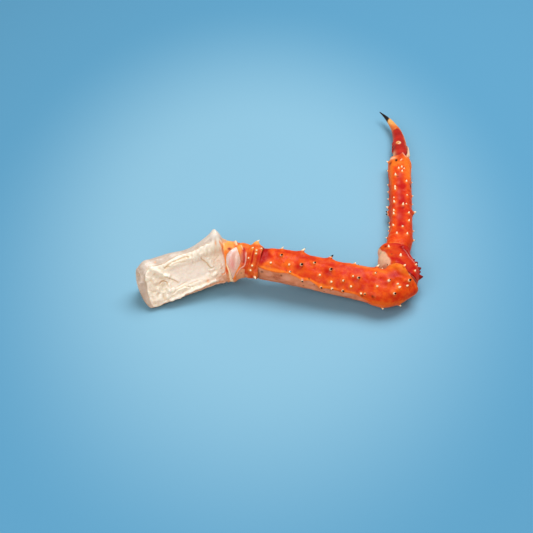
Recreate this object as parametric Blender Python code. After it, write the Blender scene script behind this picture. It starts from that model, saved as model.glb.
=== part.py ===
"""A cooked king crab leg lying on its side: shoulder meat, jointed spiny shell and the claw at its end.

Lengths in this file are in millimetres and become metres when a mesh is made. The leg follows one middle
line of straight runs and arcs, and each piece is a tube round a stretch of that line. Its cross-section is
a polygon with rounded corners, whose size, turn and sideways place change smoothly along the piece. +X runs
from the shoulder to the knee, +Y from the knee to the claw, and the floor is at Z = 0. The origin is on the
floor under the middle of the leg's box.
"""

import math

import bpy
import numpy as np
from mathutils import Matrix, Vector

MM = 0.001
GAP = 0.3  # between neighbouring pieces
SEED = 11

# The middle line starts at the bare end of the meat. Headings are degrees to the left of +X, climbs are
# degrees above level.
LINE_START = (-116.7, -119.2, 12.9)
START_HEADING = 19.0
START_CLIMB = 9.0
# Each run: length, turn to the left along it, climb at its end.
RUNS = (
    (62.0, 0.0, 9.0),  # shoulder meat
    (10.0, -15.0, 5.0),  # its bend at the neck
    (19.0, -15.0, -3.0),  # basis
    (11.0, -1.0, -5.0),  # ischium
    (100.0, -1.0, -3.6),  # straight part of the merus
    (38.0, 110.0, -2.5),  # knee, with the merus's hooked end and the start of the carpus
    (22.0, -2.0, -3.0),  # straight part of the carpus
    (8.0, -25.5, -3.0),  # wrist
    (10.0, 14.5, -1.5),  # foot of the propodus
    (123.0, 2.0, -0.8),  # propodus
    (34.0, 4.0, -1.0),  # straight half of the dactyl
    (54.0, 42.0, 4.0),  # hooked half of the dactyl
)

# How much of the line each piece takes.
SHOULDER_LENGTH = 72.0
BASIS_LENGTH = 19.0
ISCHIUM_LENGTH = 11.0
MERUS_LENGTH = 123.0
KNEE_SKIN_LENGTH = 3.0
CARPUS_LENGTH = 36.0
WRIST_SKIN_LENGTH = 3.0
PROPODUS_LENGTH = 135.0
CLAW_SKIN_LENGTH = 2.5
DACTYL_LENGTH = 83.5

# Half the widest thickness of each piece, and the reach of the lip round a shell's open end.
SHOULDER_RADIUS = 16.0
BASIS_RADIUS = 18.0
ISCHIUM_RADIUS = 15.0
MERUS_RADIUS = 16.6
CARPUS_RADIUS = 17.2
PROPODUS_RADIUS = 11.8
DACTYL_RADIUS = 7.5
LIP_REACH = 2.5

MEAT_RELIEF = 1.8  # height of the meat's lobes
MEAT_FOLD = 14.0  # height near the neck of the fold of skin along the meat's upper back edge
FOLD_RISE = ((0, 0), (0.35, 0.02), (0.6, 0.12), (0.75, 0.38), (0.86, 0.75), (0.93, 1.0), (1, 0.35))
WINDOW_HALF = (5.2, 12.5, 3.6)  # half width, height and depth of the lens of skin in the basis


def walk_line():
    """The middle line as arrays: distance, point, heading and climb, a quarter of a millimetre apart."""
    step = 0.25
    heading, climb = [START_HEADING], [START_CLIMB]
    for length, turn, end_climb in RUNS:
        share = np.arange(1, round(length / step) + 1) * step / length
        start, start_climb = heading[-1], climb[-1]
        heading.extend(start + turn * share)
        climb.extend(start_climb + (end_climb - start_climb) * share)
    heading, climb = np.radians(heading), np.radians(climb)
    along = direction(heading, climb)
    moves = step * (along[1:] + along[:-1]) / 2
    points = np.vstack([[LINE_START], np.array(LINE_START) + np.cumsum(moves, 0)])
    return np.arange(len(points)) * step, points, heading, climb


def direction(heading, climb):
    return np.stack([np.cos(heading) * np.cos(climb), np.sin(heading) * np.cos(climb), np.sin(climb)], -1)


LINE = walk_line()


def frame_at(distance):
    """Point on the middle line there, with the directions along it, to its left and up from it."""
    distances, points, headings, climbs = LINE
    heading = np.interp(distance, distances, headings)
    climb = np.interp(distance, distances, climbs)
    point = np.stack([np.interp(distance, distances, points[:, i]) for i in range(3)], -1)
    along = direction(heading, climb)
    left = np.stack([-np.sin(heading), np.cos(heading), np.zeros_like(heading)], -1)
    return point, along, left, np.cross(along, left)


def smooth(knots, t):
    """A smooth curve through a few (t, value) knots."""
    at, value = np.array(knots, float).T
    slope = np.gradient(value, at)
    i = np.clip(np.searchsorted(at, t, side="right") - 1, 0, len(at) - 2)
    width = at[i + 1] - at[i]
    u = np.clip((t - at[i]) / width, 0, 1)
    start = (1 + 2 * u) * (1 - u) ** 2 * value[i] + u * (1 - u) ** 2 * width * slope[i]
    return start + u**2 * (3 - 2 * u) * value[i + 1] - u**2 * (1 - u) * width * slope[i + 1]


def rounded_polygon(angle, sides, corner, sharpness):
    """Radius at an angle of a polygon with rounded corners, none of them farther out than corner.

    Each side is the direction that it faces, in degrees, and its distance."""
    total = corner**-sharpness
    for facing, distance in sides:
        total = total + (np.maximum(np.cos(angle - math.radians(facing)), 0) / distance) ** sharpness
    return total ** (-1 / sharpness)


def bump(angle, middle, width):
    """1 at the middle angle, falling to 0 over about the width, both in degrees."""
    away = np.degrees(np.angle(np.exp(1j * (angle - np.radians(middle)))))
    return np.exp(-((away / width) ** 2))


class Tube:
    """A piece round the line. Its surface goes by the share t of its length and by the angle round it.

    The angle is 0 to the left of the line and 90 degrees above it. size, turn and sway are (t, value)
    knots: the share of radius, the section's turn in degrees and its shift to the left in mm. Each swell
    is a place (t, degrees), how far it spreads (t, degrees) and its height in mm."""

    def __init__(self, start, length, radius, size, sides, corner=1.0, sharpness=8.0):
        self.start, self.length = start, length
        self.radius, self.size = radius, size
        self.sides, self.corner, self.sharpness = sides, corner, sharpness
        self.turn = self.sway = ((0, 0), (1, 0))
        self.lip = self.first_lip = 0.0
        self.swells = ()

    @property
    def end(self):
        return self.start + self.length

    def reach(self, t, angle):
        """Distance in mm from the middle of the section to the surface."""
        turned = angle - np.radians(smooth(self.turn, t))
        size = self.radius * smooth(self.size, t)
        size = size + self.lip * np.exp(-(((1 - t) * self.length / LIP_REACH) ** 2))
        size = size + self.first_lip * np.exp(-((t * self.length / LIP_REACH) ** 2))
        size = size * rounded_polygon(turned, self.sides, self.corner, self.sharpness)
        for at, degrees, spread, spread_degrees, height in self.swells:
            size = size + height * np.exp(-(((t - at) / spread) ** 2)) * bump(angle, degrees, spread_degrees)
        return size

    def point(self, t, angle, scale=1.0, shift=0.0):
        """World point on the surface, or inside it at a smaller scale, moved along the line by shift."""
        middle, along, left, up = frame_at(self.start + t * self.length)
        reach = self.reach(t, angle) * scale
        across = (reach * np.cos(angle) + smooth(self.sway, t))[..., None] * left
        return middle + across + (reach * np.sin(angle))[..., None] * up + np.asarray(shift)[..., None] * along

    def rings(self, count, around, start_dome, end_dome, dome_radius):
        """Rings of points from the start cap over the side to the end cap.

        A dome above 0 swells outward and one below 0 is a hollow. Both follow the distance from the
        middle, so that a hollow and the neighbour's dome keep the same gap."""
        angle = np.arange(around) * 2 * np.pi / around

        def cap(t, scale, dome, outward):
            ends = np.full(around, t)
            depth = dome * np.clip(1 - (self.reach(ends, angle) * scale / dome_radius) ** 2, 0, 1)
            return self.point(ends, angle, scale, outward * depth)

        even = np.linspace(0, 1, count)
        crowded = even - 0.35 * np.sin(2 * np.pi * even) / (2 * np.pi)
        found = [cap(0.0, scale, start_dome, -1) for scale in (0.35, 0.7)]
        found += [self.point(np.full(around, t), angle) for t in crowded]
        found += [cap(1.0, scale, end_dome, 1) for scale in (0.7, 0.35)]
        return np.array(found)

    def middle_of_cap(self, t, dome):
        middle, along, left, _ = frame_at(np.array(self.start + t * self.length))
        return middle + smooth(self.sway, np.array(t)) * left + (1 if t else -1) * dome * along


def mesh_from_rings(name, rings, start_middle, end_middle):
    """A closed mesh: quads between neighbouring rings and a fan of triangles at each end."""
    count, around = rings.shape[:2]
    points = np.vstack([rings.reshape(-1, 3), start_middle, end_middle])
    points[:, 2] = np.maximum(points[:, 2], 0.0)  # the leg rests on small flat spots
    first, last, top = len(points) - 2, len(points) - 1, (count - 1) * around
    faces = []
    for j in range(around):
        k = (j + 1) % around
        faces.append((j, first, k))
        faces.append((top + j, top + k, last))
        for ring in range(0, top, around):
            faces.append((ring + j, ring + k, ring + around + k, ring + around + j))
    mesh = bpy.data.meshes.new(name)
    mesh.from_pydata((points * MM).tolist(), [], faces)
    mesh.shade_smooth()
    return mesh


def add(name, mesh, finish):
    body = bpy.data.objects.new(name, mesh)
    body.data.materials.append(finish)
    body.parent = leg
    bpy.context.scene.collection.objects.link(body)
    return body


def add_tube(name, tube, count, around, finish, start_dome=0.0, end_dome=0.0, dome_radius=15.0, relief=None):
    rings = tube.rings(count, around, start_dome, end_dome, dome_radius)
    if relief:
        rings = relief(rings)
    ends = tube.middle_of_cap(0.0, start_dome), tube.middle_of_cap(1.0, end_dome)
    return add(name, mesh_from_rings(name, rings, *ends), finish)


def material(name, color, roughness):
    made = bpy.data.materials.new(name)
    made.use_nodes = True
    shader = made.node_tree.nodes["Principled BSDF"]
    shader.inputs["Base Color"].default_value = (*color, 1)
    shader.inputs["Roughness"].default_value = roughness
    made.diffuse_color = (*color, 1)
    return made


def spine(tube, distance, degrees, height):
    """One spine: a blunt six-sided cone that leans towards the claw, sunk a little into the shell."""
    sides, sunk, lean, tip = 6, 1.2, 0.35, 0.14
    angle = np.array(math.radians(degrees))
    _, along, left, up = frame_at(tube.start + np.array(distance))
    outward = math.cos(angle) * left + math.sin(angle) * up
    width = 0.5 * height + 0.6
    ring = [(width * math.cos(a), width * math.sin(a)) for a in np.arange(sides) * 2 * math.pi / sides]
    points = [(x, y, -sunk) for x, y in ring] + [(x * tip, y * tip, height) for x, y in ring]
    faces = [tuple(reversed(range(sides))), tuple(range(sides, 2 * sides))]
    faces += [(j, (j + 1) % sides, (j + 1) % sides + sides, j + sides) for j in range(sides)]
    turn = Vector((0, 0, 1)).rotation_difference(Vector(outward + lean * along)).to_matrix().to_4x4()
    place = Matrix.Translation(Vector(tube.point(np.array(distance / tube.length), angle))) @ turn
    mesh = bpy.data.meshes.new("spine")
    mesh.from_pydata([place @ Vector(point) * MM for point in points], [], faces)
    return mesh


def fuse_spines(body, tube, places):
    """Joins spines to the body. Each place: distance along the piece, angle in degrees, height."""
    heap = bpy.data.collections.new("spines")
    bpy.context.scene.collection.children.link(heap)
    for distance, degrees, height in places:
        heap.objects.link(bpy.data.objects.new("spine", spine(tube, distance, degrees, height)))
    union = body.modifiers.new("spines", "BOOLEAN")
    union.operation = "UNION"
    union.operand_type = "COLLECTION"
    union.collection = heap
    union.solver = "MANIFOLD"
    graph = bpy.context.evaluated_depsgraph_get()
    body.data = bpy.data.meshes.new_from_object(body.evaluated_get(graph))
    body.modifiers.clear()
    for thorn in list(heap.objects):
        bpy.data.objects.remove(thorn)
    bpy.data.collections.remove(heap)


def meat_relief(rings):
    """Lobes of the bare meat as waves in and out, and the fold of skin that rises along its upper back edge."""
    count, around = rings.shape[:2]
    draw = np.random.default_rng(SEED)
    outward = rings - rings.mean(1, keepdims=True)
    outward /= np.linalg.norm(outward, axis=2, keepdims=True)
    wave = np.zeros((count, around))
    for _ in range(14):
        way = draw.normal(size=3)
        pitch = draw.uniform(9, 26)
        wave += np.sin(rings @ way / np.linalg.norm(way) * 2 * np.pi / pitch + draw.uniform(0, 6.3)) * pitch
    wave *= MEAT_RELIEF / np.abs(wave).max()
    angle = np.arange(around) * 2 * np.pi / around
    side = np.clip((np.arange(count) - 2) / (count - 5), 0, 1)[:, None]
    clear = np.clip(np.minimum(np.arange(count), count - 3 - np.arange(count)) / 2, 0, 1)[:, None]
    fold = MEAT_FOLD * smooth(FOLD_RISE, side) * bump(angle, 74, 16)
    return rings + outward * (clear * (1 - bump(angle, 270, 45)) * wave + clear * fold)[..., None]


for leftover in list(bpy.data.objects):
    bpy.data.objects.remove(leftover)

leg = bpy.data.objects.new("leg", None)
bpy.context.scene.collection.objects.link(leg)

meat_white = material("shoulder_meat", (0.86, 0.77, 0.66), 0.45)
shell_red = material("red_shell", (0.78, 0.10, 0.02), 0.3)
shell_orange = material("orange_shell", (0.85, 0.20, 0.03), 0.3)
skin_pink = material("joint_skin", (0.85, 0.50, 0.42), 0.35)
claw_dark = material("claw_shell", (0.45, 0.05, 0.03), 0.25)

# Shoulder meat: a block whose broad front side leans back by 30 degrees, with a swollen bare end.
shoulder = Tube(
    0.0,
    SHOULDER_LENGTH,
    SHOULDER_RADIUS,
    ((0, 0.97), (0.12, 1.02), (0.5, 1.0), (0.8, 0.98), (1, 0.89)),
    ((150, 0.6), (14, 0.78), (90, 1.06), (236, 1.04), (270, 0.94)),
    corner=1.9,
    sharpness=9.0,
)
shoulder.swells = (
    (0.05, 82, 0.12, 30, 2.6),
    (0.03, 222, 0.1, 16, 1.6),
    (0.3, 62, 0.3, 17, 4.0),
    (0.06, 66, 0.07, 18, 1.6),
    (0.93, 222, 0.09, 24, 2.6),
    (0.0, 76, 0.07, 30, -2.4),
)
add_tube("shoulder_meat", shoulder, 22, 40, meat_white, start_dome=5.0, dome_radius=19.0, relief=meat_relief)

# Basis: a short orange collar that narrows towards the leg. A skin-covered window opens its front.
basis = Tube(
    shoulder.end + GAP,
    BASIS_LENGTH - GAP,
    BASIS_RADIUS,
    ((0, 1.0), (0.25, 0.97), (0.6, 0.87), (1, 0.78)),
    ((150, 0.9), (270, 0.9), (20, 0.92)),
)
basis.first_lip = 0.8
basis.swells = ((0.75, 100, 0.18, 38, 1.3), (0.95, 70, 0.3, 40, 1.2), (0.45, 222, 0.2, 22, 2.0))
basis_body = add_tube("basis_shell", basis, 9, 26, shell_orange)

ischium = Tube(
    basis.end + GAP,
    ISCHIUM_LENGTH - GAP,
    ISCHIUM_RADIUS,
    ((0, 0.95), (0.4, 1.0), (1, 0.94)),
    ((140, 0.95), (250, 0.93), (20, 0.95)),
)
ischium.lip = 0.7
ischium.swells = ((0.5, 66, 0.5, 34, 1.9), (0.8, 228, 0.4, 26, -1.7))
ischium_body = add_tube("ischium_shell", ischium, 7, 26, shell_orange)

# Merus: the long part. Its flat underside turns from the front to below along the first third.
merus = Tube(
    ischium.end + GAP,
    MERUS_LENGTH - GAP,
    MERUS_RADIUS,
    ((0, 0.82), (0.08, 0.86), (0.3, 0.94), (0.6, 0.97), (0.85, 1.0), (1, 1.05)),
    ((112, 0.9), (222, 0.8), (350, 0.88)),
)
merus.turn = ((0, -18), (0.2, -8), (0.35, 4), (1, 8))
merus.lip = 0.8
merus.swells = ((0.86, 190, 0.08, 48, 3.2), (0.98, 80, 0.02, 22, 1.2), (0.16, 48, 0.17, 30, 1.4))
merus_body = add_tube("merus_shell", merus, 30, 28, shell_red, end_dome=-5.0)

knee = Tube(
    merus.end + GAP,
    KNEE_SKIN_LENGTH - GAP,
    MERUS_RADIUS,
    ((0, 0.89), (0.5, 0.92), (1, 0.89)),
    ((112, 0.92), (222, 0.86), (350, 0.92)),
)
add_tube("knee_skin", knee, 5, 24, skin_pink, start_dome=5.0)

carpus = Tube(
    knee.end + GAP,
    CARPUS_LENGTH - GAP,
    CARPUS_RADIUS,
    ((0, 0.93), (0.25, 1.0), (0.6, 0.95), (0.9, 0.84), (1, 0.83)),
    ((100, 0.9), (215, 0.9), (330, 0.9)),
)
carpus.sway = ((0, 1.0), (0.3, 3.2), (0.6, 4.2), (1, 3.4))
carpus.lip = 0.6
carpus.swells = ((0.4, 185, 0.4, 34, -0.9),)
carpus_body = add_tube("carpus_shell", carpus, 17, 26, shell_red, end_dome=-4.0, dome_radius=11.0)

wrist = Tube(
    carpus.end + GAP,
    WRIST_SKIN_LENGTH - GAP,
    PROPODUS_RADIUS,
    ((0, 0.88), (0.5, 0.92), (1, 0.88)),
    ((100, 0.92), (270, 0.92)),
)
wrist.sway = ((0, 3.4), (1, 1.8))
add_tube("wrist_skin", wrist, 4, 20, skin_pink, start_dome=4.0, dome_radius=11.0)

propodus = Tube(
    wrist.end + GAP,
    PROPODUS_LENGTH - GAP,
    PROPODUS_RADIUS,
    ((0, 0.95), (0.08, 1.05), (0.2, 0.98), (0.5, 0.94), (0.85, 1.0), (0.96, 1.0), (1, 0.9)),
    ((90, 0.88), (270, 0.88), (0, 0.96), (180, 0.96)),
)
propodus.sway = ((0, 1.8), (0.15, 0.0), (0.45, 0.3), (0.75, 1.2), (1, 1.2))
propodus_body = add_tube("propodus_shell", propodus, 28, 22, shell_red, end_dome=-3.0, dome_radius=8.0)

claw = Tube(
    propodus.end + GAP,
    CLAW_SKIN_LENGTH - GAP,
    DACTYL_RADIUS,
    ((0, 0.97), (0.5, 1.0), (1, 0.94)),
    ((90, 0.95), (270, 0.95)),
)
add_tube("claw_skin", claw, 4, 18, skin_pink, start_dome=2.2, dome_radius=8.0)

dactyl = Tube(
    claw.end + GAP,
    DACTYL_LENGTH - GAP,
    DACTYL_RADIUS,
    ((0, 0.96), (0.1, 0.94), (0.25, 0.89), (0.4, 0.78), (0.55, 0.62), (0.7, 0.43), (0.85, 0.22), (1, 0.04)),
    ((90, 0.9), (270, 0.9)),
)
dactyl.sway = ((0, 0), (0.25, 0.4), (0.45, 0.5), (0.7, 0.4), (1, 0))
add_tube("dactyl", dactyl, 22, 16, claw_dark)

# The spines of each shell: distance along it, angle in degrees, height.
fuse_spines(
    ischium_body,
    ischium,
    (
        (4.8, 62, 3.4), (6.0, 30, 1.8), (4.0, 5, 2.2), (7.0, 335, 1.6), (5.1, 148, 1.5), (9.2, 192, 1.6),
    ),
)
fuse_spines(
    merus_body,
    merus,
    (
        # front and upper side
        (15.0, 52, 2.4), (32.5, 50, 4.4), (57.0, 53, 4.2), (97.0, 55, 3.3), (119.5, 74, 2.6),
        (16.3, 86, 3.0), (9.2, 125, 2.0), (25.0, 119, 2.4), (35.0, 113, 3.9), (45.0, 93, 2.8),
        (60.0, 107, 3.9), (62.5, 147, 2.2), (27.0, 143, 2.2), (38.3, 160, 2.3), (55.0, 169, 2.6),
        (64.0, 166, 2.6), (73.5, 166, 2.9), (84.0, 117, 3.2), (72.0, 136, 1.9), (79.4, 148, 2.0),
        (107.0, 112, 3.3), (112.0, 128, 1.9), (116.6, 144, 1.9), (108.6, 152, 3.0), (119.5, 134, 3.4),
        # back and below
        (24.0, 14, 3.6), (47.0, 11, 3.8), (69.0, 15, 3.2), (92.0, 12, 3.0), (12.0, 30, 2.0),
        (36.0, 28, 2.0), (80.0, 30, 2.2), (104.0, 34, 2.0), (33.0, 343, 2.6), (53.0, 338, 2.8),
        (75.0, 344, 2.4), (97.0, 340, 2.0), (48.0, 312, 2.0), (104.0, 195, 2.4), (112.0, 196, 2.4),
    ),
)
fuse_spines(
    carpus_body,
    carpus,
    (
        (6.5, 176, 3.2), (13.0, 180, 4.2), (19.5, 178, 4.2), (26.0, 180, 4.2), (9.0, 152, 2.2),
        (14.5, 86, 3.0), (22.0, 140, 2.4), (31.0, 142, 2.4), (26.0, 98, 2.2), (29.0, 62, 2.2),
        (7.0, 112, 2.2), (12.0, 214, 2.6), (25.0, 218, 2.6), (31.0, 205, 1.8),
    ),
)
fuse_spines(
    propodus_body,
    propodus,
    (
        # upper side
        (110.8, 91, 2.0), (110.8, 74, 1.8), (101.5, 57, 2.4), (92.0, 107, 1.7), (84.5, 51, 1.9),
        (62.6, 44, 2.2), (57.6, 89, 2.4), (49.5, 39, 1.9), (44.8, 117, 1.7), (85.0, 135, 2.0),
        (36.0, 80, 2.0), (26.0, 52, 2.0), (22.0, 100, 2.0), (12.0, 76, 2.0), (14.0, 118, 2.0),
        (33.0, 122, 2.0),
        # both edges
        (54.0, 165, 3.2), (16.0, 172, 2.4), (36.0, 176, 1.8), (74.0, 174, 1.2), (92.0, 170, 1.4),
        (106.0, 172, 1.2), (121.0, 168, 1.4), (66.0, 0, 2.2), (129.0, 16, 2.0), (18.0, 4, 2.0),
        (32.0, 356, 1.8), (48.0, 2, 1.2), (80.0, 358, 1.2), (94.0, 4, 1.2), (108.0, 0, 1.2),
        (119.0, 356, 1.2),
    ),
)


def window_skin(name, grow):
    """The lens of skin in the basis's front window, larger all round by grow."""
    angle = np.array(math.radians(148))
    share = np.array(0.52)
    middle, along, left, up = frame_at(basis.start + share * basis.length)
    outward = math.cos(angle) * left + math.sin(angle) * up
    inset = basis.reach(share, angle) - 1.6
    axes = np.stack([along, np.cross(outward, along), outward])
    sizes = np.array(WINDOW_HALF) + grow
    around = 18
    longitude = np.arange(around) * 2 * np.pi / around
    rings = []
    for latitude in np.radians(np.linspace(-75, 75, 9)):
        flat = np.cos(latitude) * np.stack([np.cos(longitude), np.sin(longitude)], -1)
        ball = np.column_stack([flat, np.full(around, np.sin(latitude))])
        rings.append(middle + outward * inset + (ball * sizes) @ axes)
    poles = [middle + outward * (inset + side * sizes[2]) for side in (-1, 1)]
    return mesh_from_rings(name, np.array(rings), *poles)


add("basis_skin", window_skin("basis_skin", 0.0), skin_pink)
window_cutter = add("window_cutter", window_skin("window_cutter", GAP), skin_pink)
window_cutter.hide_render = True
window_cutter.display_type = "WIRE"
window = basis_body.modifiers.new("window", "BOOLEAN")
window.operation = "DIFFERENCE"
window.object = window_cutter
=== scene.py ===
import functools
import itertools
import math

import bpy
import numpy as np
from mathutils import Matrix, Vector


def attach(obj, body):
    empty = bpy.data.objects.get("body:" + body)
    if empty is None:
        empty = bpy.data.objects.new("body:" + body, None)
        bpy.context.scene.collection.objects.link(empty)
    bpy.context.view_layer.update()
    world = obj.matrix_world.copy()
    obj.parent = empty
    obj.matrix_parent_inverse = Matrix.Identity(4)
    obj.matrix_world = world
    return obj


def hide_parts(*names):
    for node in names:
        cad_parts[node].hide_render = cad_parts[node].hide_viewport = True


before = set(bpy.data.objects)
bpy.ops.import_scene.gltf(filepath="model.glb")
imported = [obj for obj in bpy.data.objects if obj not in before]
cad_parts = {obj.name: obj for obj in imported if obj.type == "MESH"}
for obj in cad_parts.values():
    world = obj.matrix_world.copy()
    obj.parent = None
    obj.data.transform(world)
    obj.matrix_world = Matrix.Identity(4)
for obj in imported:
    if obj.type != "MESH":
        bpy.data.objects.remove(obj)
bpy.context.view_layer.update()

# A cooked king crab leg lying on its side: shoulder meat, jointed spiny shell and the claw at its end.
#
# Lengths in the shape functions are millimetres and become metres when a mesh is made. The leg follows
# one middle line of straight runs and arcs. A piece is a grid round a stretch of that line, and a place on
# it has two flat coordinates in millimetres: s along the piece and w round it, from the side that it is
# drawn from. Relief is raised on the grid along the surface's own normals, and the same places give the
# marks (the belly, amber rims, creases and so on) that the materials read as attributes.

MM = 0.001
GAP = 0.3  # between neighbouring pieces
LOWEST = 0.05  # height above the floor that no relief sinks below
FLAKE_EDGE = 0.22  # width of the step at the edge of a layer of meat

LINE_START = (-116.7, -119.2, 12.9)
START_HEADING = 19.0
START_CLIMB = 9.0
# Each run: length, turn to the left along it, climb at its end.
RUNS = (
    (62.0, 0.0, 9.0),  # shoulder meat
    (10.0, -15.0, 5.0),  # its bend at the neck
    (19.0, -15.0, -3.0),  # basis
    (11.0, -1.0, -5.0),  # ischium
    (100.0, -1.0, -3.6),  # straight part of the merus
    (38.0, 110.0, -2.5),  # knee
    (22.0, -2.0, -3.0),  # straight part of the carpus
    (8.0, -25.5, -3.0),  # wrist
    (10.0, 14.5, -1.5),  # foot of the propodus
    (123.0, 2.0, -0.8),  # propodus
    (34.0, 4.0, -1.0),  # straight half of the dactyl
    (54.0, 42.0, 4.0),  # hooked half of the dactyl
)

SHOULDER_LENGTH = 72.0
BASIS_LENGTH = 19.0
ISCHIUM_LENGTH = 11.0
MERUS_LENGTH = 123.0
KNEE_SKIN_LENGTH = 3.0
CARPUS_LENGTH = 36.0
WRIST_SKIN_LENGTH = 3.0
PROPODUS_LENGTH = 135.0
CLAW_SKIN_LENGTH = 2.5
DACTYL_LENGTH = 82.0

SHOULDER_RADIUS = 16.0
BASIS_RADIUS = 18.0
ISCHIUM_RADIUS = 15.0
MERUS_RADIUS = 16.6
CARPUS_RADIUS = 17.2
PROPODUS_RADIUS = 11.8
DACTYL_RADIUS = 7.5
LIP_REACH = 2.5
MEAT_FOLD = 14.0  # height near the neck of the fold of skin along the meat's upper back edge
FOLD_RISE = ((0, 0), (0.35, 0.02), (0.6, 0.12), (0.75, 0.38), (0.86, 0.75), (0.93, 1.0), (1, 0.35))


# ---- The middle line and the tubes round it ----


def direction(heading, climb):
    """The unit vector with a heading and a climb, both in radians."""
    level = np.cos(climb)
    return np.stack([np.cos(heading) * level, np.sin(heading) * level, np.sin(climb)], -1)


def walk_line():
    """The middle line as arrays: distance, point, heading and climb. Heading and climb change evenly along
    each run, and the points are the running sum of quarter-millimetre steps in those directions."""
    pace = 0.25
    heading, climb = [START_HEADING], [START_CLIMB]
    for length, turn, end_climb in RUNS:
        share = np.arange(1, round(length / pace) + 1) * pace / length
        start, start_climb = heading[-1], climb[-1]
        heading.extend(start + turn * share)
        climb.extend(start_climb + (end_climb - start_climb) * share)
    heading, climb = np.radians(heading), np.radians(climb)
    along = direction(heading, climb)
    moves = pace * (along[1:] + along[:-1]) / 2
    points = np.vstack([[LINE_START], np.array(LINE_START) + np.cumsum(moves, 0)])
    return np.arange(len(points)) * pace, points, heading, climb


LINE = walk_line()


def frame_at(distance):
    """Point on the middle line there, with the directions along it, to its left and up from it."""
    distances, points, headings, climbs = LINE
    heading = np.interp(distance, distances, headings)
    climb = np.interp(distance, distances, climbs)
    point = np.stack([np.interp(distance, distances, points[:, i]) for i in range(3)], -1)
    along = direction(heading, climb)
    left = np.stack([-np.sin(heading), np.cos(heading), np.zeros_like(heading)], -1)
    return point, along, left, np.cross(along, left)


def smooth(knots, t):
    """A cubic curve through a few (t, value) knots, with the slope of its neighbours at each knot."""
    at, value = np.array(knots, float).T
    slope = np.gradient(value, at)
    i = np.clip(np.searchsorted(at, t, side="right") - 1, 0, len(at) - 2)
    width = at[i + 1] - at[i]
    u = np.clip((t - at[i]) / width, 0, 1)
    start = (1 + 2 * u) * (1 - u) ** 2 * value[i] + u * (1 - u) ** 2 * width * slope[i]
    return start + u**2 * (3 - 2 * u) * value[i + 1] - u**2 * (1 - u) * width * slope[i + 1]


def rounded_polygon(angle, sides, corner, sharpness):
    """Radius at an angle of a polygon with rounded corners: a power mean of its sides' distances, where each
    side is the direction that it faces, in degrees, and its distance."""
    total = corner**-sharpness
    for facing, distance in sides:
        total = total + (np.maximum(np.cos(angle - math.radians(facing)), 0) / distance) ** sharpness
    return total ** (-1 / sharpness)


def hill(value, middle, width):
    """1 at the middle, falling to 0 over about the width: e to the minus square of the way in widths."""
    return np.exp(-(((value - middle) / width) ** 2))


def bump(angle, middle, width):
    """The same round the leg: the middle and the width are in degrees."""
    away = np.degrees(np.angle(np.exp(1j * (angle - np.radians(middle)))))
    return hill(away, 0, width)


def ease(low, high, value):
    """0 below low and 1 above high, with an S curve between them."""
    u = np.clip((value - low) / (high - low), 0, 1)
    return u * u * (3 - 2 * u)


def step(value, width):
    """0 below 0 and 1 above it, with a logistic curve of about the width between."""
    return 1 / (1 + np.exp(-np.clip(value / width, -40, 40)))


def highest(*values):
    """The highest of several arrays at each place."""
    return functools.reduce(np.maximum, values)


def oval(s, w, at_s, at_w, half_s, half_w):
    """A soft oval, 1 at its middle: e to the minus square of the way out, in half lengths."""
    return np.exp(-(((s - at_s) / half_s) ** 2 + ((w - at_w) / half_w) ** 2))


class Tube:
    """A piece round the line. Its surface goes by the share t of its length and by the angle round it.

    The angle is 0 to the left of the line and 90 degrees above it. size, turn and sway are (t, value)
    knots: the share of radius, the section's turn in degrees and its shift to the left in mm. Each swell
    is a place (t, degrees), how far it spreads (t, degrees) and its height in mm."""

    def __init__(self, start, length, radius, size, sides, corner=1.0, sharpness=8.0):
        self.start, self.length = start, length
        self.radius, self.size = radius, size
        self.sides, self.corner, self.sharpness = sides, corner, sharpness
        self.turn = self.sway = ((0, 0), (1, 0))
        self.lip = self.first_lip = 0.0
        self.swells = ()

    @property
    def end(self):
        """Where it ends along the line."""
        return self.start + self.length

    def reach(self, t, angle):
        """Distance in mm from the middle of the section to the surface."""
        turned = angle - np.radians(smooth(self.turn, t))
        size = self.radius * smooth(self.size, t)
        size = size + self.lip * hill((1 - t) * self.length, 0, LIP_REACH)
        size = size + self.first_lip * hill(t * self.length, 0, LIP_REACH)
        size = size * rounded_polygon(turned, self.sides, self.corner, self.sharpness)
        for at, degrees, spread, spread_degrees, height in self.swells:
            size = size + height * hill(t, at, spread) * bump(angle, degrees, spread_degrees)
        return size

    def point(self, t, angle, scale=1.0, shift=0.0):
        """World point on the surface, or inside it at a smaller scale, moved along the line by shift."""
        middle, along, left, up = frame_at(self.start + t * self.length)
        reach = self.reach(t, angle) * scale
        across = (reach * np.cos(angle) + smooth(self.sway, t))[..., None] * left
        risen = (reach * np.sin(angle))[..., None] * up
        return middle + across + risen + np.asarray(shift)[..., None] * along


def after(previous, length, radius, size, sides):
    """The tube that follows another one on the line, a gap away from it."""
    return Tube(previous.end + GAP, length - GAP, radius, size, sides)


# ---- Noise ----

NOISE_GAIN = 1.7  # brings the noise to about -1 to 1
RAGGED_PITCH = 6.0  # size in mm of the wander of ragged places


def shuffled(seed):
    """The numbers 0 to 255 in a seeded random order, twice over."""
    order = np.random.default_rng(seed).permutation(256)
    return np.concatenate([order, order])


def lattice_key(order, cell):
    """A number from 0 to 255 for each cell of a cubic lattice, by one look-up for each direction."""
    x, y, z = np.moveaxis(cell & 255, -1, 0)
    return order[order[order[x] + y] + z]


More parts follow.
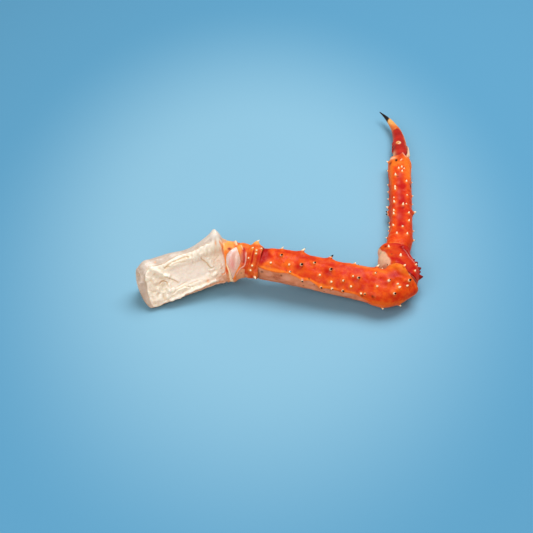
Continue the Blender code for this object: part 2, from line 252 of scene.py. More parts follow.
def noise(points, pitch, seed):
    """Smooth noise from about -1 to 1 in lumps of the pitch: a random slope at each corner of a cubic
    lattice, blended over the cube by a fifth-power curve."""
    order = shuffled(seed)
    slopes = np.random.default_rng(seed + 1).normal(size=(256, 3))
    slopes /= np.linalg.norm(slopes, axis=1, keepdims=True)
    place = points / pitch
    cell = np.floor(place).astype(int)
    within = place - cell
    fade = within**3 * (within * (within * 6 - 15) + 10)
    total = np.zeros(points.shape[:-1])
    for corner in itertools.product((0, 1), repeat=3):
        weight = np.where(corner, fade, 1 - fade).prod(-1)
        total += weight * (slopes[lattice_key(order, cell + corner)] * (within - corner)).sum(-1)
    return total * NOISE_GAIN


def lumps(points, pitch, seed, octaves=3):
    """Noise with finer noise on it: each octave has half the pitch and half the height of the one before."""
    return sum(noise(points, pitch / 2**k, seed + 7 * k) / 2**k for k in range(octaves))


def grooves(s, w, pitch_s, pitch_w, seed):
    """Noise in streaks: a place moves by its own pitch along the piece and round it."""
    return noise(np.stack([s / pitch_s, w / pitch_w, np.zeros_like(s)], -1), 1.0, seed)


def cells(points, pitch, seed):
    """Distance, in pitches, to the nearest of points scattered one to each cube of a lattice."""
    order = shuffled(seed)
    scatter = np.random.default_rng(seed + 1).random((256, 3))
    place = points / pitch
    base = np.floor(place).astype(int)
    nearest_square = np.full(points.shape[:-1], 9.0)
    for offset in itertools.product((-1, 0, 1), repeat=3):
        cell = base + offset
        away = cell + scatter[lattice_key(order, cell)] - place
        nearest_square = np.minimum(nearest_square, (away**2).sum(-1))
    return np.sqrt(nearest_square)


# ---- Skins: fine grids with relief ----


def dome(depth, count=14):
    """Cap profile of a rounded end, rim to middle: the rim's share that is left, and mm outward."""
    turn = np.linspace(0, math.pi / 2, count + 1)[1:]
    turn[-1] *= 0.98
    return list(zip(np.cos(turn), depth * np.sin(turn)))


def socket(wall, depth):
    """Cap profile of a shell's open end: its rounded rim, the inner side of the wall and a sunken floor."""
    rim = [(1 - 0.15 * wall, 0.25), (1 - 0.4 * wall, 0.4), (1 - 0.7 * wall, 0.3), (1 - wall, -0.1)]
    inner = [(1 - wall - 0.01, -0.35 * depth), (1 - wall - 0.03, -0.7 * depth)]
    floor = [(share, -depth) for share in (0.8, 0.62, 0.42, 0.22, 0.06)]
    return rim + inner + floor


def nearest(s, w, path):
    """Distance from each place to a smooth curve through a path of (s, w) places, on which side of it the
    place is (1 to the left, going along) and the share of the curve that lies before it."""
    path = np.array(path, float)
    if len(path) > 2:
        number = np.arange(len(path))
        fine = np.linspace(0, len(path) - 1, 3 * len(path) - 2)
        path = np.stack([smooth(np.stack([number, path[:, i]], 1), fine) for i in (0, 1)], 1)
    away = np.full(s.shape, 1e9)
    side, share = np.zeros(s.shape), np.zeros(s.shape)
    for number, (first, last) in enumerate(zip(path, path[1:])):
        run = last - first
        along = np.clip(((s - first[0]) * run[0] + (w - first[1]) * run[1]) / (run @ run), 0, 1)
        off_s, off_w = s - first[0] - along * run[0], w - first[1] - along * run[1]
        distance = np.hypot(off_s, off_w)
        closer = distance < away
        away = np.where(closer, distance, away)
        side = np.where(closer, np.sign(run[0] * off_w - run[1] * off_s), side)
        share = np.where(closer, (number + along) / (len(path) - 1), share)
    return away, side, share


def inside(s, w, outline):
    """True within a closed outline: a line from the place crosses it an odd number of times."""
    outline = np.array(outline, float)
    odd = np.zeros(s.shape, bool)
    for first, last in zip(outline, np.roll(outline, -1, 0)):
        spans = (first[1] > w) != (last[1] > w)
        rise = last[1] - first[1] if last[1] != first[1] else 1e-9
        odd ^= spans & (s < (last[0] - first[0]) * (w - first[1]) / rise + first[0])
    return odd


class Skin:
    """A closed surface round a tube as a grid of rings, from the start cap over the side to the end cap.

    s runs on past both ends over the caps. w is the length of arc round the ring, counted from the angle
    that the piece is drawn from. height is the relief in mm, and marks are named shares for the
    materials. The ragged s and w wander a little, so that nothing drawn with them has a clean edge."""

    def __init__(self, tube, start_cap, end_cap, rows, columns, drawn_from, ragged=0.0):
        side = np.linspace(0, 1, rows)
        share = np.concatenate([np.zeros(len(start_cap)), side, np.ones(len(end_cap))])
        drawn_in = np.concatenate([[k for k, _ in start_cap[::-1]], np.ones(rows), [k for k, _ in end_cap]])
        outward = np.concatenate([[-d for _, d in start_cap[::-1]], np.zeros(rows), [d for _, d in end_cap]])
        angle = np.arange(columns) * 2 * np.pi / columns
        self.tube, self.columns, self.first_row = tube, columns, len(start_cap)
        self.rows = rows
        self.t, self.angle = np.meshgrid(share, angle, indexing="ij")
        shift = np.broadcast_to(outward[:, None], self.t.shape)
        self.points = tube.point(self.t, self.angle, drawn_in[:, None], shift)
        past_end = tube.radius * (1 - drawn_in) * np.where(share > 0.5, 1, -1)
        self.s = self.t * tube.length + past_end[:, None]
        chord = np.linalg.norm(np.roll(self.points, -1, 1) - self.points, axis=-1)
        total = chord.sum(1, keepdims=True)
        arc = np.cumsum(chord, 1) - chord
        zero = round(drawn_from / 360 * columns) % columns
        self.w = (arc - arc[:, zero : zero + 1] + total / 2) % total - total / 2
        self.normals = self.find_normals()
        self.height = np.zeros(self.t.shape)
        # Painted shadow beside tall spines, later joined to the crimson mark.
        self.spine_shadow = np.zeros(self.t.shape)
        self.marks = {}
        self.s_ragged = self.s + ragged * lumps(self.points, RAGGED_PITCH, 301, 2)
        self.w_ragged = self.w + ragged * lumps(self.points, RAGGED_PITCH, 401, 2)

    def find_normals(self):
        """Outward normals: the cross product of the steps round and along the grid."""
        round_it = np.roll(self.points, -1, 1) - np.roll(self.points, 1, 1)
        along = np.gradient(self.points, axis=0)
        normal = np.cross(round_it, along)
        return normal / (np.linalg.norm(normal, axis=-1, keepdims=True) + 1e-9)

    def ridge(self, path, width, height, taper=0.12):
        """Raises, or below 0 sinks, a rounded line along a path. Returns its mask, 1 on the line."""
        away, _, share = nearest(self.s_ragged, self.w_ragged, path)
        mask = hill(away, 0, width)
        if taper:
            mask = mask * ease(0, taper, np.minimum(share, 1 - share))
        self.height += height * mask
        return mask

    def flake(self, path, height, reach, taper=0.12):
        """Lays a layer on the left of a path: it rises steeply at the path and thins out over its reach.
        Returns the mask of the groove at the foot of its edge."""
        away, side, share = nearest(self.s_ragged, self.w_ragged, path)
        signed = away * side
        fade = ease(0, taper, np.minimum(share, 1 - share))
        layer = np.exp(-np.maximum(signed, 0) / reach) * step(signed, FLAKE_EDGE)
        groove = hill(signed, -0.55, 0.5) * fade
        self.height += height * (layer * fade - 0.3 * groove)
        return groove

    def oval(self, s, w, half_s, half_w):
        """The mask of a soft oval at a place."""
        return oval(self.s_ragged, self.w_ragged, s, w, half_s, half_w)

    def lump(self, s, w, half_s, half_w, height):
        """Raises a rounded hill at a place. Returns its mask."""
        mask = self.oval(s, w, half_s, half_w)
        self.height += height * mask
        return mask

    def ball(self, place, size):
        """The mask of a soft ball round a point in space: e to the minus square of the distance in sizes."""
        return np.exp(-((self.points - place) ** 2).sum(-1) / size**2)

    def cushions(self, places):
        """Raises overlapping cushions, each (s, w, half length along s, half length along w, height): a
        lens whose height is the square root of what is left of its reach. The highest one shows."""
        top = np.zeros(self.s.shape)
        for s, w, half_s, half_w, height in places:
            out = ((self.s_ragged - s) / half_s) ** 2 + ((self.w_ragged - w) / half_w) ** 2
            top = np.maximum(top, 0.78 * height * np.clip(1.15 - out, 0, 1) ** 0.5)
        self.height += self.blurred(top, 0.5)

    def blurred(self, values, distance):
        """The values averaged over about a distance in mm, by repeated three-point averages."""
        spacing = self.tube.length / self.rows
        stride = 2
        for _ in range(max(1, round((distance / spacing / stride) ** 2 / 0.5))):
            values = (np.roll(values, stride, 1) + 2 * values + np.roll(values, -stride, 1)) / 4
            padded = np.pad(values, ((stride, stride), (0, 0)), mode="edge")
            values = (padded[2 * stride :] + 2 * values + padded[: -2 * stride]) / 4
        return values

    def mark(self, name, values):
        """Keeps the values, held between 0 and 1, under a mark's name."""
        self.marks[name] = np.clip(values, 0, 1)

    def shape(self, cavity, distance):
        """Raises the relief along the normals, and marks what lies lower and higher than its surroundings:
        the difference from the average over the distance, as a share of the cavity's depth. The materials
        paint shade into the lower places and a highlight onto the higher ones; on shell the higher ones also
        carry the shell's own amber."""
        around = self.blurred(self.height, distance)
        self.mark("hollow", (around - self.height) / cavity)
        self.mark("crest", (self.height - around) / cavity)
        # The painted spine shadows join the crimson mark.
        if "crimson" in self.marks:
            self.marks["crimson"] = np.maximum(self.marks["crimson"], self.spine_shadow)
        self.points = self.points + self.normals * self.height[..., None]
        self.points[..., 2] = np.maximum(self.points[..., 2], LOWEST)
        self.normals = self.find_normals()

    def spot(self, s, degrees):
        """Row and column of the grid nearest to a distance along the piece and an angle."""
        share = np.asarray(s) / self.tube.length
        row = self.first_row + np.round(share * (self.rows - 1)).astype(int)
        column = np.round(np.asarray(degrees) / 360 * self.columns).astype(int) % self.columns
        return np.clip(row, 0, len(self.points) - 1), column


def link(name, data):
    """An object of the data, in the scene."""
    made = bpy.data.objects.new(name, data)
    bpy.context.scene.collection.objects.link(made)
    return made


class Piece:
    """Collects closed grids, each with a pole at both ends, and makes them one mesh with its marks."""

    def __init__(self, names, skin=None):
        """Starts with the names of the marks and, if there is one, with a skin's grid."""
        self.names = names
        self.points, self.quads, self.triangles = [], [], []
        self.marks = {name: [] for name in names}
        self.count = 0
        if skin:
            self.add(skin.points[None], {name: values[None] for name, values in skin.marks.items()})

    def add(self, grids, marks):
        """Adds a stack of grids of one size: array (grid, row, column, xyz), marks the same without xyz."""
        stack, rows, columns = grids.shape[:3]
        poles = grids[:, [0, -1]].mean(2)
        size = rows * columns + 2
        self.points.append(np.concatenate([grids.reshape(stack, -1, 3), poles], 1).reshape(-1, 3))
        for name in self.names:
            values = np.broadcast_to(marks.get(name, 0.0), grids.shape[:3])
            ends = values[:, [0, -1]].mean(2)
            self.marks[name].append(np.concatenate([values.reshape(stack, -1), ends], 1).ravel())
        j = np.arange(columns)
        k = (j + 1) % columns
        row = np.arange(rows - 1)[:, None] * columns
        quads = np.stack([row + j, row + k, row + columns + k, row + columns + j], -1).reshape(-1, 4)
        first, last, top = size - 2, size - 1, (rows - 1) * columns
        start_fan = np.stack([j, np.full(columns, first), k], -1)
        end_fan = np.stack([top + j, top + k, np.full(columns, last)], -1)
        triangles = np.concatenate([start_fan, end_fan])
        offsets = self.count + np.arange(stack)[:, None, None] * size
        self.quads.append((quads + offsets).reshape(-1, 4))
        self.triangles.append((triangles + offsets).reshape(-1, 3))
        self.count += stack * size

    def finish(self, name, material, node):
        """Makes the object, which stands for a node of the frame and rides on the leg."""
        points = np.concatenate(self.points) * MM
        quads, triangles = np.concatenate(self.quads), np.concatenate(self.triangles)
        corners = np.concatenate([quads.ravel(), triangles.ravel()]).astype(np.int32)
        starts = np.concatenate([np.arange(len(quads)) * 4, len(quads) * 4 + np.arange(len(triangles)) * 3])
        mesh = bpy.data.meshes.new(name)
        mesh.vertices.add(len(points))
        mesh.vertices.foreach_set("co", points.astype(np.float32).ravel())
        mesh.loops.add(len(corners))
        mesh.loops.foreach_set("vertex_index", corners)
        mesh.polygons.add(len(starts))
        mesh.polygons.foreach_set("loop_start", starts.astype(np.int32))
        mesh.update(calc_edges=True)
        mesh.shade_smooth()
        for mark in self.names:
            values = np.concatenate(self.marks[mark]).astype(np.float32)
            mesh.attributes.new(mark, "FLOAT", "POINT").data.foreach_set("value", values)
        mesh.materials.append(material)
        body = link(name, mesh)
        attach(body, "root")
        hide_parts(node)


# Each ring of a spine: its share of the height (below 0 it lies in the shell) and of the foot's radius.
SPINE_RINGS = np.array([-0.38, -0.19, -0.07, 0.02, 0.12, 0.24, 0.38, 0.54, 0.7, 0.83, 0.93, 1.0])
SPINE_WIDTHS = np.array([1.66, 1.45, 1.22, 1.06, 0.96, 0.84, 0.72, 0.6, 0.47, 0.35, 0.22, 0.07])
SPINE_COLUMNS = 12


def tallness(height):
    """0 for a small spine and 1 for a tall one."""
    return ease(2.2, 3.6, height)


def swell_under(skin, spines):
    """Raises a knob under each spine and returns where the knobs are. A spine is (s, degrees, height in mm,
    how black its tip). Beside each tall spine, back along the leg and below it, lies a painted shadow in
    deep red, kept in the skin's mask of painted spine shadows."""
    knob = np.zeros(skin.t.shape)
    for s, degrees, height, _ in spines:
        foot = skin.points[skin.spot(s, degrees)]
        tall = float(tallness(height))
        mound = skin.ball(foot, 0.78 * height + 0.6)
        skin.height += (0.26 + 0.12 * tall) * height * mound
        knob = np.maximum(knob, (1 - 0.75 * tall) * mound)
        along = frame_at(skin.tube.start + s)[1]
        # The painted shadow lies behind the spine along the leg, towards the camera and down.
        beside = foot - 0.7 * height * along + height * np.array((0.0, -0.4, -0.4))
        skin.spine_shadow = np.maximum(skin.spine_shadow, tall * skin.ball(beside, 0.95 * height))
    return knob


def add_spines(piece, skin, spines, lean=0.6, width=1.0, horned=True):
    """Adds every spine as a cone of rings: each ring goes out along the spine's axis by its share of the
    height, and its radius is that ring's share of the foot. The axis leans towards the claw while the rings
    stay level with the shell. Teeth that aren't horned are dark brown like the shell's edge."""
    s, degrees, height, black = np.array(spines, float).T
    spot = skin.spot(s, degrees)
    foot, out = skin.points[spot], skin.normals[spot]
    along = frame_at(skin.tube.start + s)[1]
    axis = out + lean * along
    axis /= np.linalg.norm(axis, axis=1, keepdims=True)
    aside = np.cross(out, along + 0.01)
    aside /= np.linalg.norm(aside, axis=1, keepdims=True)
    other = np.cross(out, aside)
    turn = (np.arange(SPINE_COLUMNS) * 2 * np.pi / SPINE_COLUMNS)[:, None]
    ring = aside[:, None] * np.cos(turn) + other[:, None] * np.sin(turn)
    radius = (0.26 * height + 0.5) * width
    risen = ((height * (1 - 0.14 * tallness(height)))[:, None] * SPINE_RINGS)[..., None, None]
    outward = np.maximum(risen, 0) * axis[:, None, None] + np.minimum(risen, 0) * out[:, None, None]
    spread = (radius[:, None] * SPINE_WIDTHS)[..., None, None] * ring[:, None]
    grids = foot[:, None, None] + outward + spread
    grids[..., 2] = np.maximum(grids[..., 2], 2 * LOWEST)
    share = np.clip(SPINE_RINGS, 0, 1)[None, :, None]
    marks = {name: values[spot][:, None, None] for name, values in skin.marks.items()}
    marks["black"] = black[:, None, None]
    marks["horn"] = share if horned else 0.0
    if not horned:
        marks["soot"] = 0.3 + 0.45 * share
    piece.add(grids, marks)


def make_piece(skin, marks, name, material, node, slot, spines=()):
    """Makes the piece of one skin and of the spines that grow from it."""
    piece = Piece(marks, skin)
    if spines:
        add_spines(piece, skin, spines)
    piece.finish(name, material, node)


# ---- Materials ----


def paint(red, green, blue):
    """A colour as the screen shows it, 0 to 255, as the shader's linear values."""
    share = [value / 255 for value in (red, green, blue)]
    return tuple(v / 12.92 if v < 0.04045 else ((v + 0.055) / 1.055) ** 2.4 for v in share) + (1.0,)


class Bench:
    """Places and links the nodes of one tree."""

    def __init__(self, tree):
        self.tree = tree

    def add(self, kind, inputs=(), **settings):
        """A node with its settings, and its inputs by name or number: a value, or a socket to link."""
        node = self.tree.nodes.new(kind)
        for name, value in settings.items():
            setattr(node, name, value)
        for name, value in dict(inputs).items():
            if isinstance(value, bpy.types.NodeSocket):
                self.tree.links.new(value, node.inputs[name])
            else:
                node.inputs[name].default_value = value
        return node

    def math(self, operation, first, second):
        """A sum, product or other simple operation on two values."""
        return self.add("ShaderNodeMath", {0: first, 1: second}, operation=operation).outputs[0]

    def over(self, value, size):
        """The value divided by a size."""
        return self.math("DIVIDE", value, size)

    def ease(self, value, low, high):
        """0 below low, 1 above high and an S curve between."""
        ends = {"Value": value, "From Min": low, "From Max": high}
        return self.add("ShaderNodeMapRange", ends, interpolation_type="SMOOTHSTEP").outputs["Result"]

    def mix(self, factor, first, second):
        """The first colour where the factor is 0 and the second where it is 1."""
        return self.add("ShaderNodeMix", {0: factor, 6: first, 7: second}, data_type="RGBA").outputs[2]

    def mark(self, name):
        """A mark that the mesh carries."""
        return self.add("ShaderNodeAttribute", attribute_name=name).outputs["Fac"]

    def place(self):
        """The place on the object in metres."""
        return self.add("ShaderNodeTexCoord").outputs["Object"]

    def patches(self, size, **more):
        """Noise in lumps of a size in metres."""
        inputs = {"Vector": self.place(), "Scale": self.over(1.0, size), **more}
        return self.add("ShaderNodeTexNoise", inputs).outputs["Fac"]

    def use(self, tree, inputs):
        """One of the groups below, with this material's own values."""
        return self.add("ShaderNodeGroup", inputs, node_tree=tree).outputs[0]

    def mottle(self, light, deep, size, balance=0.5):
        """Two colours in soft patches of a size in metres."""
        return self.use(MOTTLE, {"Light": light, "Deep": deep, "Size": size, "Balance": balance})

    def coats(self, color, coats):
        """The colour with coats on it, each (mark, share, colour): that share of it shows at the mark."""
        for mark, share, coat in coats:
            mask = self.mark(mark) if share == 1 else self.math("MULTIPLY", self.mark(mark), share)
            color = self.mix(mask, color, coat)
        return color


def group(name, inputs, output, kind):
    """An empty shader group with named inputs, each with its value (a number or a colour), and one output
    of a kind."""
    tree = bpy.data.node_groups.new(name, "ShaderNodeTree")
    for label, value in inputs.items():
        socket = "NodeSocketColor" if isinstance(value, tuple) else "NodeSocketFloat"
        tree.interface.new_socket(label, in_out="INPUT", socket_type=socket).default_value = value
    tree.interface.new_socket(output, in_out="OUTPUT", socket_type=kind)
    bench = Bench(tree)
    return bench, bench.add("NodeGroupInput").outputs, bench.add("NodeGroupOutput").inputs[output]


def mottle_group():
    """Two colours in soft patches with finer patches on them. Size is a patch in metres."""
    inputs = {"Light": (1, 1, 1, 1), "Deep": (0, 0, 0, 1), "Size": 0.01, "Balance": 0.5}
    bench, given, out = group("mottle", inputs, "Color", "NodeSocketColor")
    patches = bench.patches(given["Size"], Detail=4.0, Roughness=0.62)
    low = bench.math("SUBTRACT", given["Balance"], 0.16)
    high = bench.math("ADD", given["Balance"], 0.16)
    color = bench.mix(bench.ease(patches, low, high), given["Light"], given["Deep"])
    bench.tree.links.new(color, out)
    return bench.tree


def speck_group():
    """Small ragged specks scattered one to a cell. Spacing and Radius are metres, Share is how many show."""
    inputs = {"Spacing": 0.005, "Radius": 0.0006, "Share": 0.4}
    bench, given, out = group("specks", inputs, "Mask", "NodeSocketFloat")
    place = bench.place()
    fine = {"Vector": place, "Scale": 900.0, "Detail": 2.0}
    rough = bench.add("ShaderNodeTexNoise", fine).outputs["Color"]
    wander = {0: rough, 1: (0.0008, 0.0008, 0.0008)}
    wobble = bench.add("ShaderNodeVectorMath", wander, operation="MULTIPLY").outputs[0]
    moved = bench.add("ShaderNodeVectorMath", {0: place, 1: wobble}, operation="ADD").outputs[0]
    scale = bench.over(1.0, given["Spacing"])
    spots = bench.add("ShaderNodeTexVoronoi", {"Vector": moved, "Scale": scale})
    away = bench.math("MULTIPLY", spots.outputs["Distance"], given["Spacing"])
    core = bench.math("MULTIPLY", given["Radius"], 0.5)
    dot = bench.math("SUBTRACT", 1.0, bench.ease(away, core, given["Radius"]))
    chance = bench.add("ShaderNodeSeparateColor", {"Color": spots.outputs["Color"]}).outputs[0]
    shows = bench.math("LESS_THAN", chance, given["Share"])
    bench.tree.links.new(bench.math("MULTIPLY", dot, shows), out)
    return bench.tree


def grain_group():
    """Surface height: wide soft dimples with a fine grain. Both sizes are metres, and Height is 0 to 1."""
    inputs = {"Dimple": 0.003, "Grain": 0.0008, "Share of Grain": 0.3}
    bench, given, out = group("grain", inputs, "Height", "NodeSocketFloat")
    dimples = bench.patches(given["Dimple"], Detail=2.0)
    grid = {"Vector": bench.place(), "Scale": bench.over(1.0, given["Grain"])}
    grain = bench.add("ShaderNodeTexVoronoi", grid, feature="SMOOTH_F1")
    fine = bench.math("MULTIPLY", grain.outputs["Distance"], given["Share of Grain"])
    bench.tree.links.new(bench.math("ADD", dimples, fine), out)
    return bench.tree


def wetness_group():
    """Roughness that wanders between a wet and a drier value in patches of a size in metres."""
    inputs = {"Wet": 0.2, "Dry": 0.45, "Size": 0.008}
    bench, given, out = group("wetness", inputs, "Roughness", "NodeSocketFloat")
    patches = bench.ease(bench.patches(given["Size"], Detail=3.0), 0.35, 0.65)
    span = bench.math("SUBTRACT", given["Dry"], given["Wet"])
    rough = bench.math("ADD", given["Wet"], bench.math("MULTIPLY", patches, span))
    bench.tree.links.new(rough, out)
    return bench.tree


MOTTLE, SPECKS, GRAIN, WETNESS = mottle_group(), speck_group(), grain_group(), wetness_group()
RED_GLOW = (1.0, 0.35, 0.15)  # how far red, green and blue light spread in red shell


def start_material(name):
    """A new material, the bench for its nodes and its shader."""
    made = bpy.data.materials.new(name)
    made.use_nodes = True
    return made, Bench(made.node_tree), made.node_tree.nodes["Principled BSDF"]


def surface(bench, shader, color, wet, dry, relief, dimple, grain_share=0.3):
    """Links the colour, a wandering roughness and a fine bump, whose relief is in metres."""
    links = bench.tree.links
    links.new(color, shader.inputs["Base Color"])
    links.new(bench.use(WETNESS, {"Wet": wet, "Dry": dry, "Size": 0.007}), shader.inputs["Roughness"])
    height = bench.use(GRAIN, {"Dimple": dimple, "Grain": 0.0009, "Share of Grain": grain_share})
    fine = bench.add("ShaderNodeBump", {"Height": height, "Distance": relief, "Strength": 1.0})
    links.new(fine.outputs["Normal"], shader.inputs["Normal"])


def gloss(shader, coat, roughness, glow, spread, depth, specular=0.5):
    """Sets the shader's own values: its coat, and a glow of light that goes through to a depth in metres,
    where red, green and blue each spread by their share."""
    shader.inputs["Specular IOR Level"].default_value = specular
    shader.inputs["Coat Weight"].default_value = coat
    shader.inputs["Coat Roughness"].default_value = roughness
    shader.inputs["Subsurface Weight"].default_value = glow
    shader.inputs["Subsurface Radius"].default_value = spread
    shader.inputs["Subsurface Scale"].default_value = depth


def shell_material(name, colors):
    """Cooked shell. Light and deep in patches, amber rims and knobs, amber on raised relief that is partly
    painted highlight, painted shade in crimson in the hollows and beside tall spines, pink that is partly
    painted highlight, a paler belly, scorched specks, and horn-coloured spines of which some have black
    tips."""
    light, deep, amber, crimson, belly, belly_deep = (paint(*color) for color in colors)
    made, bench, shader = start_material(name)
    gold = bench.mottle(amber, light, 0.005, 0.62)
    pale = bench.mottle(belly, belly_deep, 0.012, 0.55)
    color = bench.mix(0.24, bench.mottle(light, deep, 0.016), bench.mottle(amber, crimson, 0.0032))
    color = bench.coats(
        color,
        (
            # amber on raised relief: partly the shell's own amber, partly painted highlight
            ("crest", 0.45, gold),
            ("amber", 1, gold),
            ("crimson", 1, crimson),
            # painted shade: crimson in the lower places of the relief
            ("hollow", 0.7, crimson),
            ("belly", 1, pale),
            # pink: the shell's own on the merus's belly and the propodus's membrane, painted highlight on
            # the propodus's patches and the carpus strip's rim, and both on the basis's ridge
            ("pink_and_sheen", 1, paint(236, 178, 160)),
        ),
    )
    specks = bench.use(SPECKS, {"Spacing": 0.0075, "Radius": 0.0007, "Share": 0.3})
    more = bench.math("ADD", bench.math("MULTIPLY", bench.mark("belly"), 0.5), 0.35)
    color = bench.mix(bench.math("MULTIPLY", specks, more), color, paint(96, 26, 10))
    color = bench.coats(color, (("soot", 1, paint(38, 18, 10)),))
    horn = bench.mark("horn")
    color = bench.mix(bench.ease(horn, 0.0, 0.52), color, paint(255, 234, 196))
    extent = bench.math("MULTIPLY", bench.mark("black"), -0.72)
    tip = bench.ease(horn, bench.math("ADD", extent, 1.05), bench.math("ADD", extent, 1.2))
    color = bench.mix(tip, color, paint(24, 14, 10))
    surface(bench, shader, color, wet=0.36, dry=0.58, relief=0.00022, dimple=0.0024)
    gloss(shader, coat=0.06, roughness=0.16, glow=0.1, spread=RED_GLOW, depth=0.003, specular=0.1)
    return made


def meat_material():
    """Moist white meat: a painted highlight on raised relief, painted shade in hollows and creases, a rosy
    tray, a grey film, tan and a brown rind.
    """
    made, bench, shader = start_material("meat")
    color = bench.mottle(paint(244, 233, 215), paint(238, 220, 197), 0.008, 0.52)
    tray = bench.mottle(paint(249, 237, 225), paint(243, 226, 211), 0.005)
    color = bench.coats(color, (("rosy", 1, tray),))
    film = bench.mottle(paint(208, 192, 178), paint(192, 172, 156), 0.011)
    bare_film = bench.math("MULTIPLY", bench.mark("film"), bench.math("SUBTRACT", 1.0, bench.mark("rosy")))
    color = bench.mix(bare_film, color, film)
    color = bench.coats(
        color,
        (
            ("tan", 1, paint(220, 172, 142)),
            # painted shade in the lower places of the relief
            ("hollow", 0.6, paint(226, 196, 156)),
            # painted shade in the creases and at the foot of layers
            ("crease_shade", 0.72, paint(220, 180, 130)),
            ("white", 0.6, paint(238, 230, 215)),
            # painted highlight on raised relief
            ("crest", 0.7, paint(246, 240, 228)),
            ("rind", 1, paint(214, 136, 88)),
            ("orange", 1, paint(240, 156, 92)),
        ),
    )
    surface(bench, shader, color, wet=0.26, dry=0.42, relief=0.0003, dimple=0.0022, grain_share=0.2)
    gloss(shader, coat=0.25, roughness=0.2, glow=0.22, spread=(1.0, 0.6, 0.4), depth=0.0012)
    return made


def skin_material(name, light, deep, edge):
    """Wet joint skin: two pinks in soft patches, a third colour at the edge mark and near white at pale.
    On the joint skins the edge colour is painted shade in the wrinkles; on the window it is rose.
    """
    made, bench, shader = start_material(name)
    color = bench.mottle(light, deep, 0.006)
    color = bench.coats(color, (("edge", 1, edge), ("pale", 1, paint(230, 216, 218))))
    surface(bench, shader, color, wet=0.26, dry=0.42, relief=0.0002, dimple=0.002, grain_share=0.15)
    gloss(shader, coat=0.25, roughness=0.1, glow=0.3, spread=(1.0, 0.5, 0.35), depth=0.003)
    return made


def claw_material():
    """The dactyl: dark red up to a rounded border, then amber, tan, and black at its tip."""
    made, bench, shader = start_material("claw")
    color = bench.mottle(paint(190, 34, 17), paint(156, 17, 8), 0.012)
    amber = bench.mottle(paint(218, 118, 52), paint(206, 94, 34), 0.006)
    tan = bench.mottle(paint(236, 180, 106), paint(228, 158, 82), 0.006)
    color = bench.coats(
        color,
        (
            ("deep", 1, paint(112, 10, 6)),
            ("amber", 1, amber),
            ("tan", 1, tan),
            ("pale", 1, paint(248, 212, 172)),
            ("soot", 1, paint(22, 18, 16)),
        ),
    )
    surface(bench, shader, color, wet=0.3, dry=0.44, relief=0.00012, dimple=0.002)
    gloss(shader, coat=0.14, roughness=0.2, glow=0.08, spread=RED_GLOW, depth=0.002, specular=0.2)
    return made


SHELL_MARKS = ("belly", "amber", "crimson", "pink_and_sheen", "soot", "crest", "hollow", "horn", "black")


def shell_form(skin, waves, seed):
    """Gives a shell its uneven surface: wide waves, finer ones and shallow pits."""
    base = skin.points
    skin.height += waves * lumps(base, 20.0, seed, 2)
    skin.height += 0.16 * lumps(base, 5.0, seed + 20, 2)
    skin.height += 0.09 * (cells(base, 2.3, seed + 30) - 0.5)


# ---- Shoulder meat ----

shoulder = Tube(
    0.0,
    SHOULDER_LENGTH,
    SHOULDER_RADIUS,
    ((0, 0.97), (0.12, 1.02), (0.5, 1.0), (0.8, 0.98), (1, 0.89)),
    ((150, 0.6), (14, 0.78), (90, 1.06), (236, 1.04), (270, 0.94)),
    corner=1.9,
    sharpness=9.0,
)
shoulder.swells = (
    (0.05, 82, 0.12, 30, 2.6),
    (0.03, 222, 0.1, 16, 1.6),
    (0.3, 62, 0.3, 17, 4.0),
    (0.06, 66, 0.07, 18, 1.6),
    (0.93, 222, 0.09, 24, 2.6),
    (0.0, 76, 0.07, 30, -2.4),
)
FILM_RIDGE = (
    (7, -18), (14, -16.8), (20, -16.3), (26, -17.4), (33, -18.4), (40, -17.9), (47, -17), (54, -16.4),
    (67, -15),
)
END_EDGE = ((8.6, -18), (4.4, -13.8), (2.9, -10.5), (2.4, -6), (1.2, -0.2), (0.6, 4), (0.4, 10), (1.4, 17))
# Cushions: s, w, half length along s and w, height. The surface follows the highest of them.
CUSHIONS = (
    # lobes of the bare end
    (4.6, -14.2, 2.6, 2.4, 0.8), (4.6, -9.6, 2.2, 3.0, 0.9), (9.3, -5.2, 1.9, 3.2, 1.4),
    (5.2, -4.0, 2.4, 3.0, 0.9), (6.6, 0.4, 2.9, 2.9, 1.2), (9.6, 2.6, 1.5, 3.2, 1.3),
    (2.2, 4.0, 2.0, 3.0, 0.9), (5.9, 5.6, 2.0, 2.4, 0.8), (5.7, 10.4, 1.7, 4.0, 1.2),
    (1.6, 10.4, 1.8, 4.0, 0.9), (9.4, 10.2, 1.8, 3.4, 0.9), (3.4, 15.0, 2.4, 1.8, 0.6),
    (9.4, 15.0, 2.6, 1.8, 0.7), (17.8, 6.6, 1.3, 3.2, 1.1), (21.2, 7.4, 2.4, 1.7, 0.7),
    (15.6, 11.8, 2.4, 2.4, 0.9),
    # fingers that hang over the tray
    (43.0, -11.6, 1.4, 3.6, 1.4), (46.0, -11.6, 1.4, 3.4, 1.3), (48.8, -11.8, 1.2, 3.0, 1.2),
    (51.6, -11.4, 1.4, 2.6, 1.2),
    # clumps at the top of the neck
    (47.6, -15.0, 1.7, 1.3, 1.5), (50.8, -14.6, 1.9, 1.4, 1.8), (53.6, -15.4, 1.6, 1.4, 1.6),
    (53.0, -13.0, 2.1, 1.3, 1.9), (56.4, -13.4, 1.6, 1.7, 1.8), (59.0, -14.8, 2.2, 1.2, 1.5),
    (60.4, -12.4, 1.5, 1.7, 1.2), (63.6, -14.0, 1.8, 1.3, 0.8),
    # flaps at the foot of the neck layer
    (57.6, 2.2, 2.3, 1.3, 1.3), (59.2, 6.4, 2.8, 1.7, 1.7), (54.0, 5.0, 2.2, 1.2, 0.5),
)
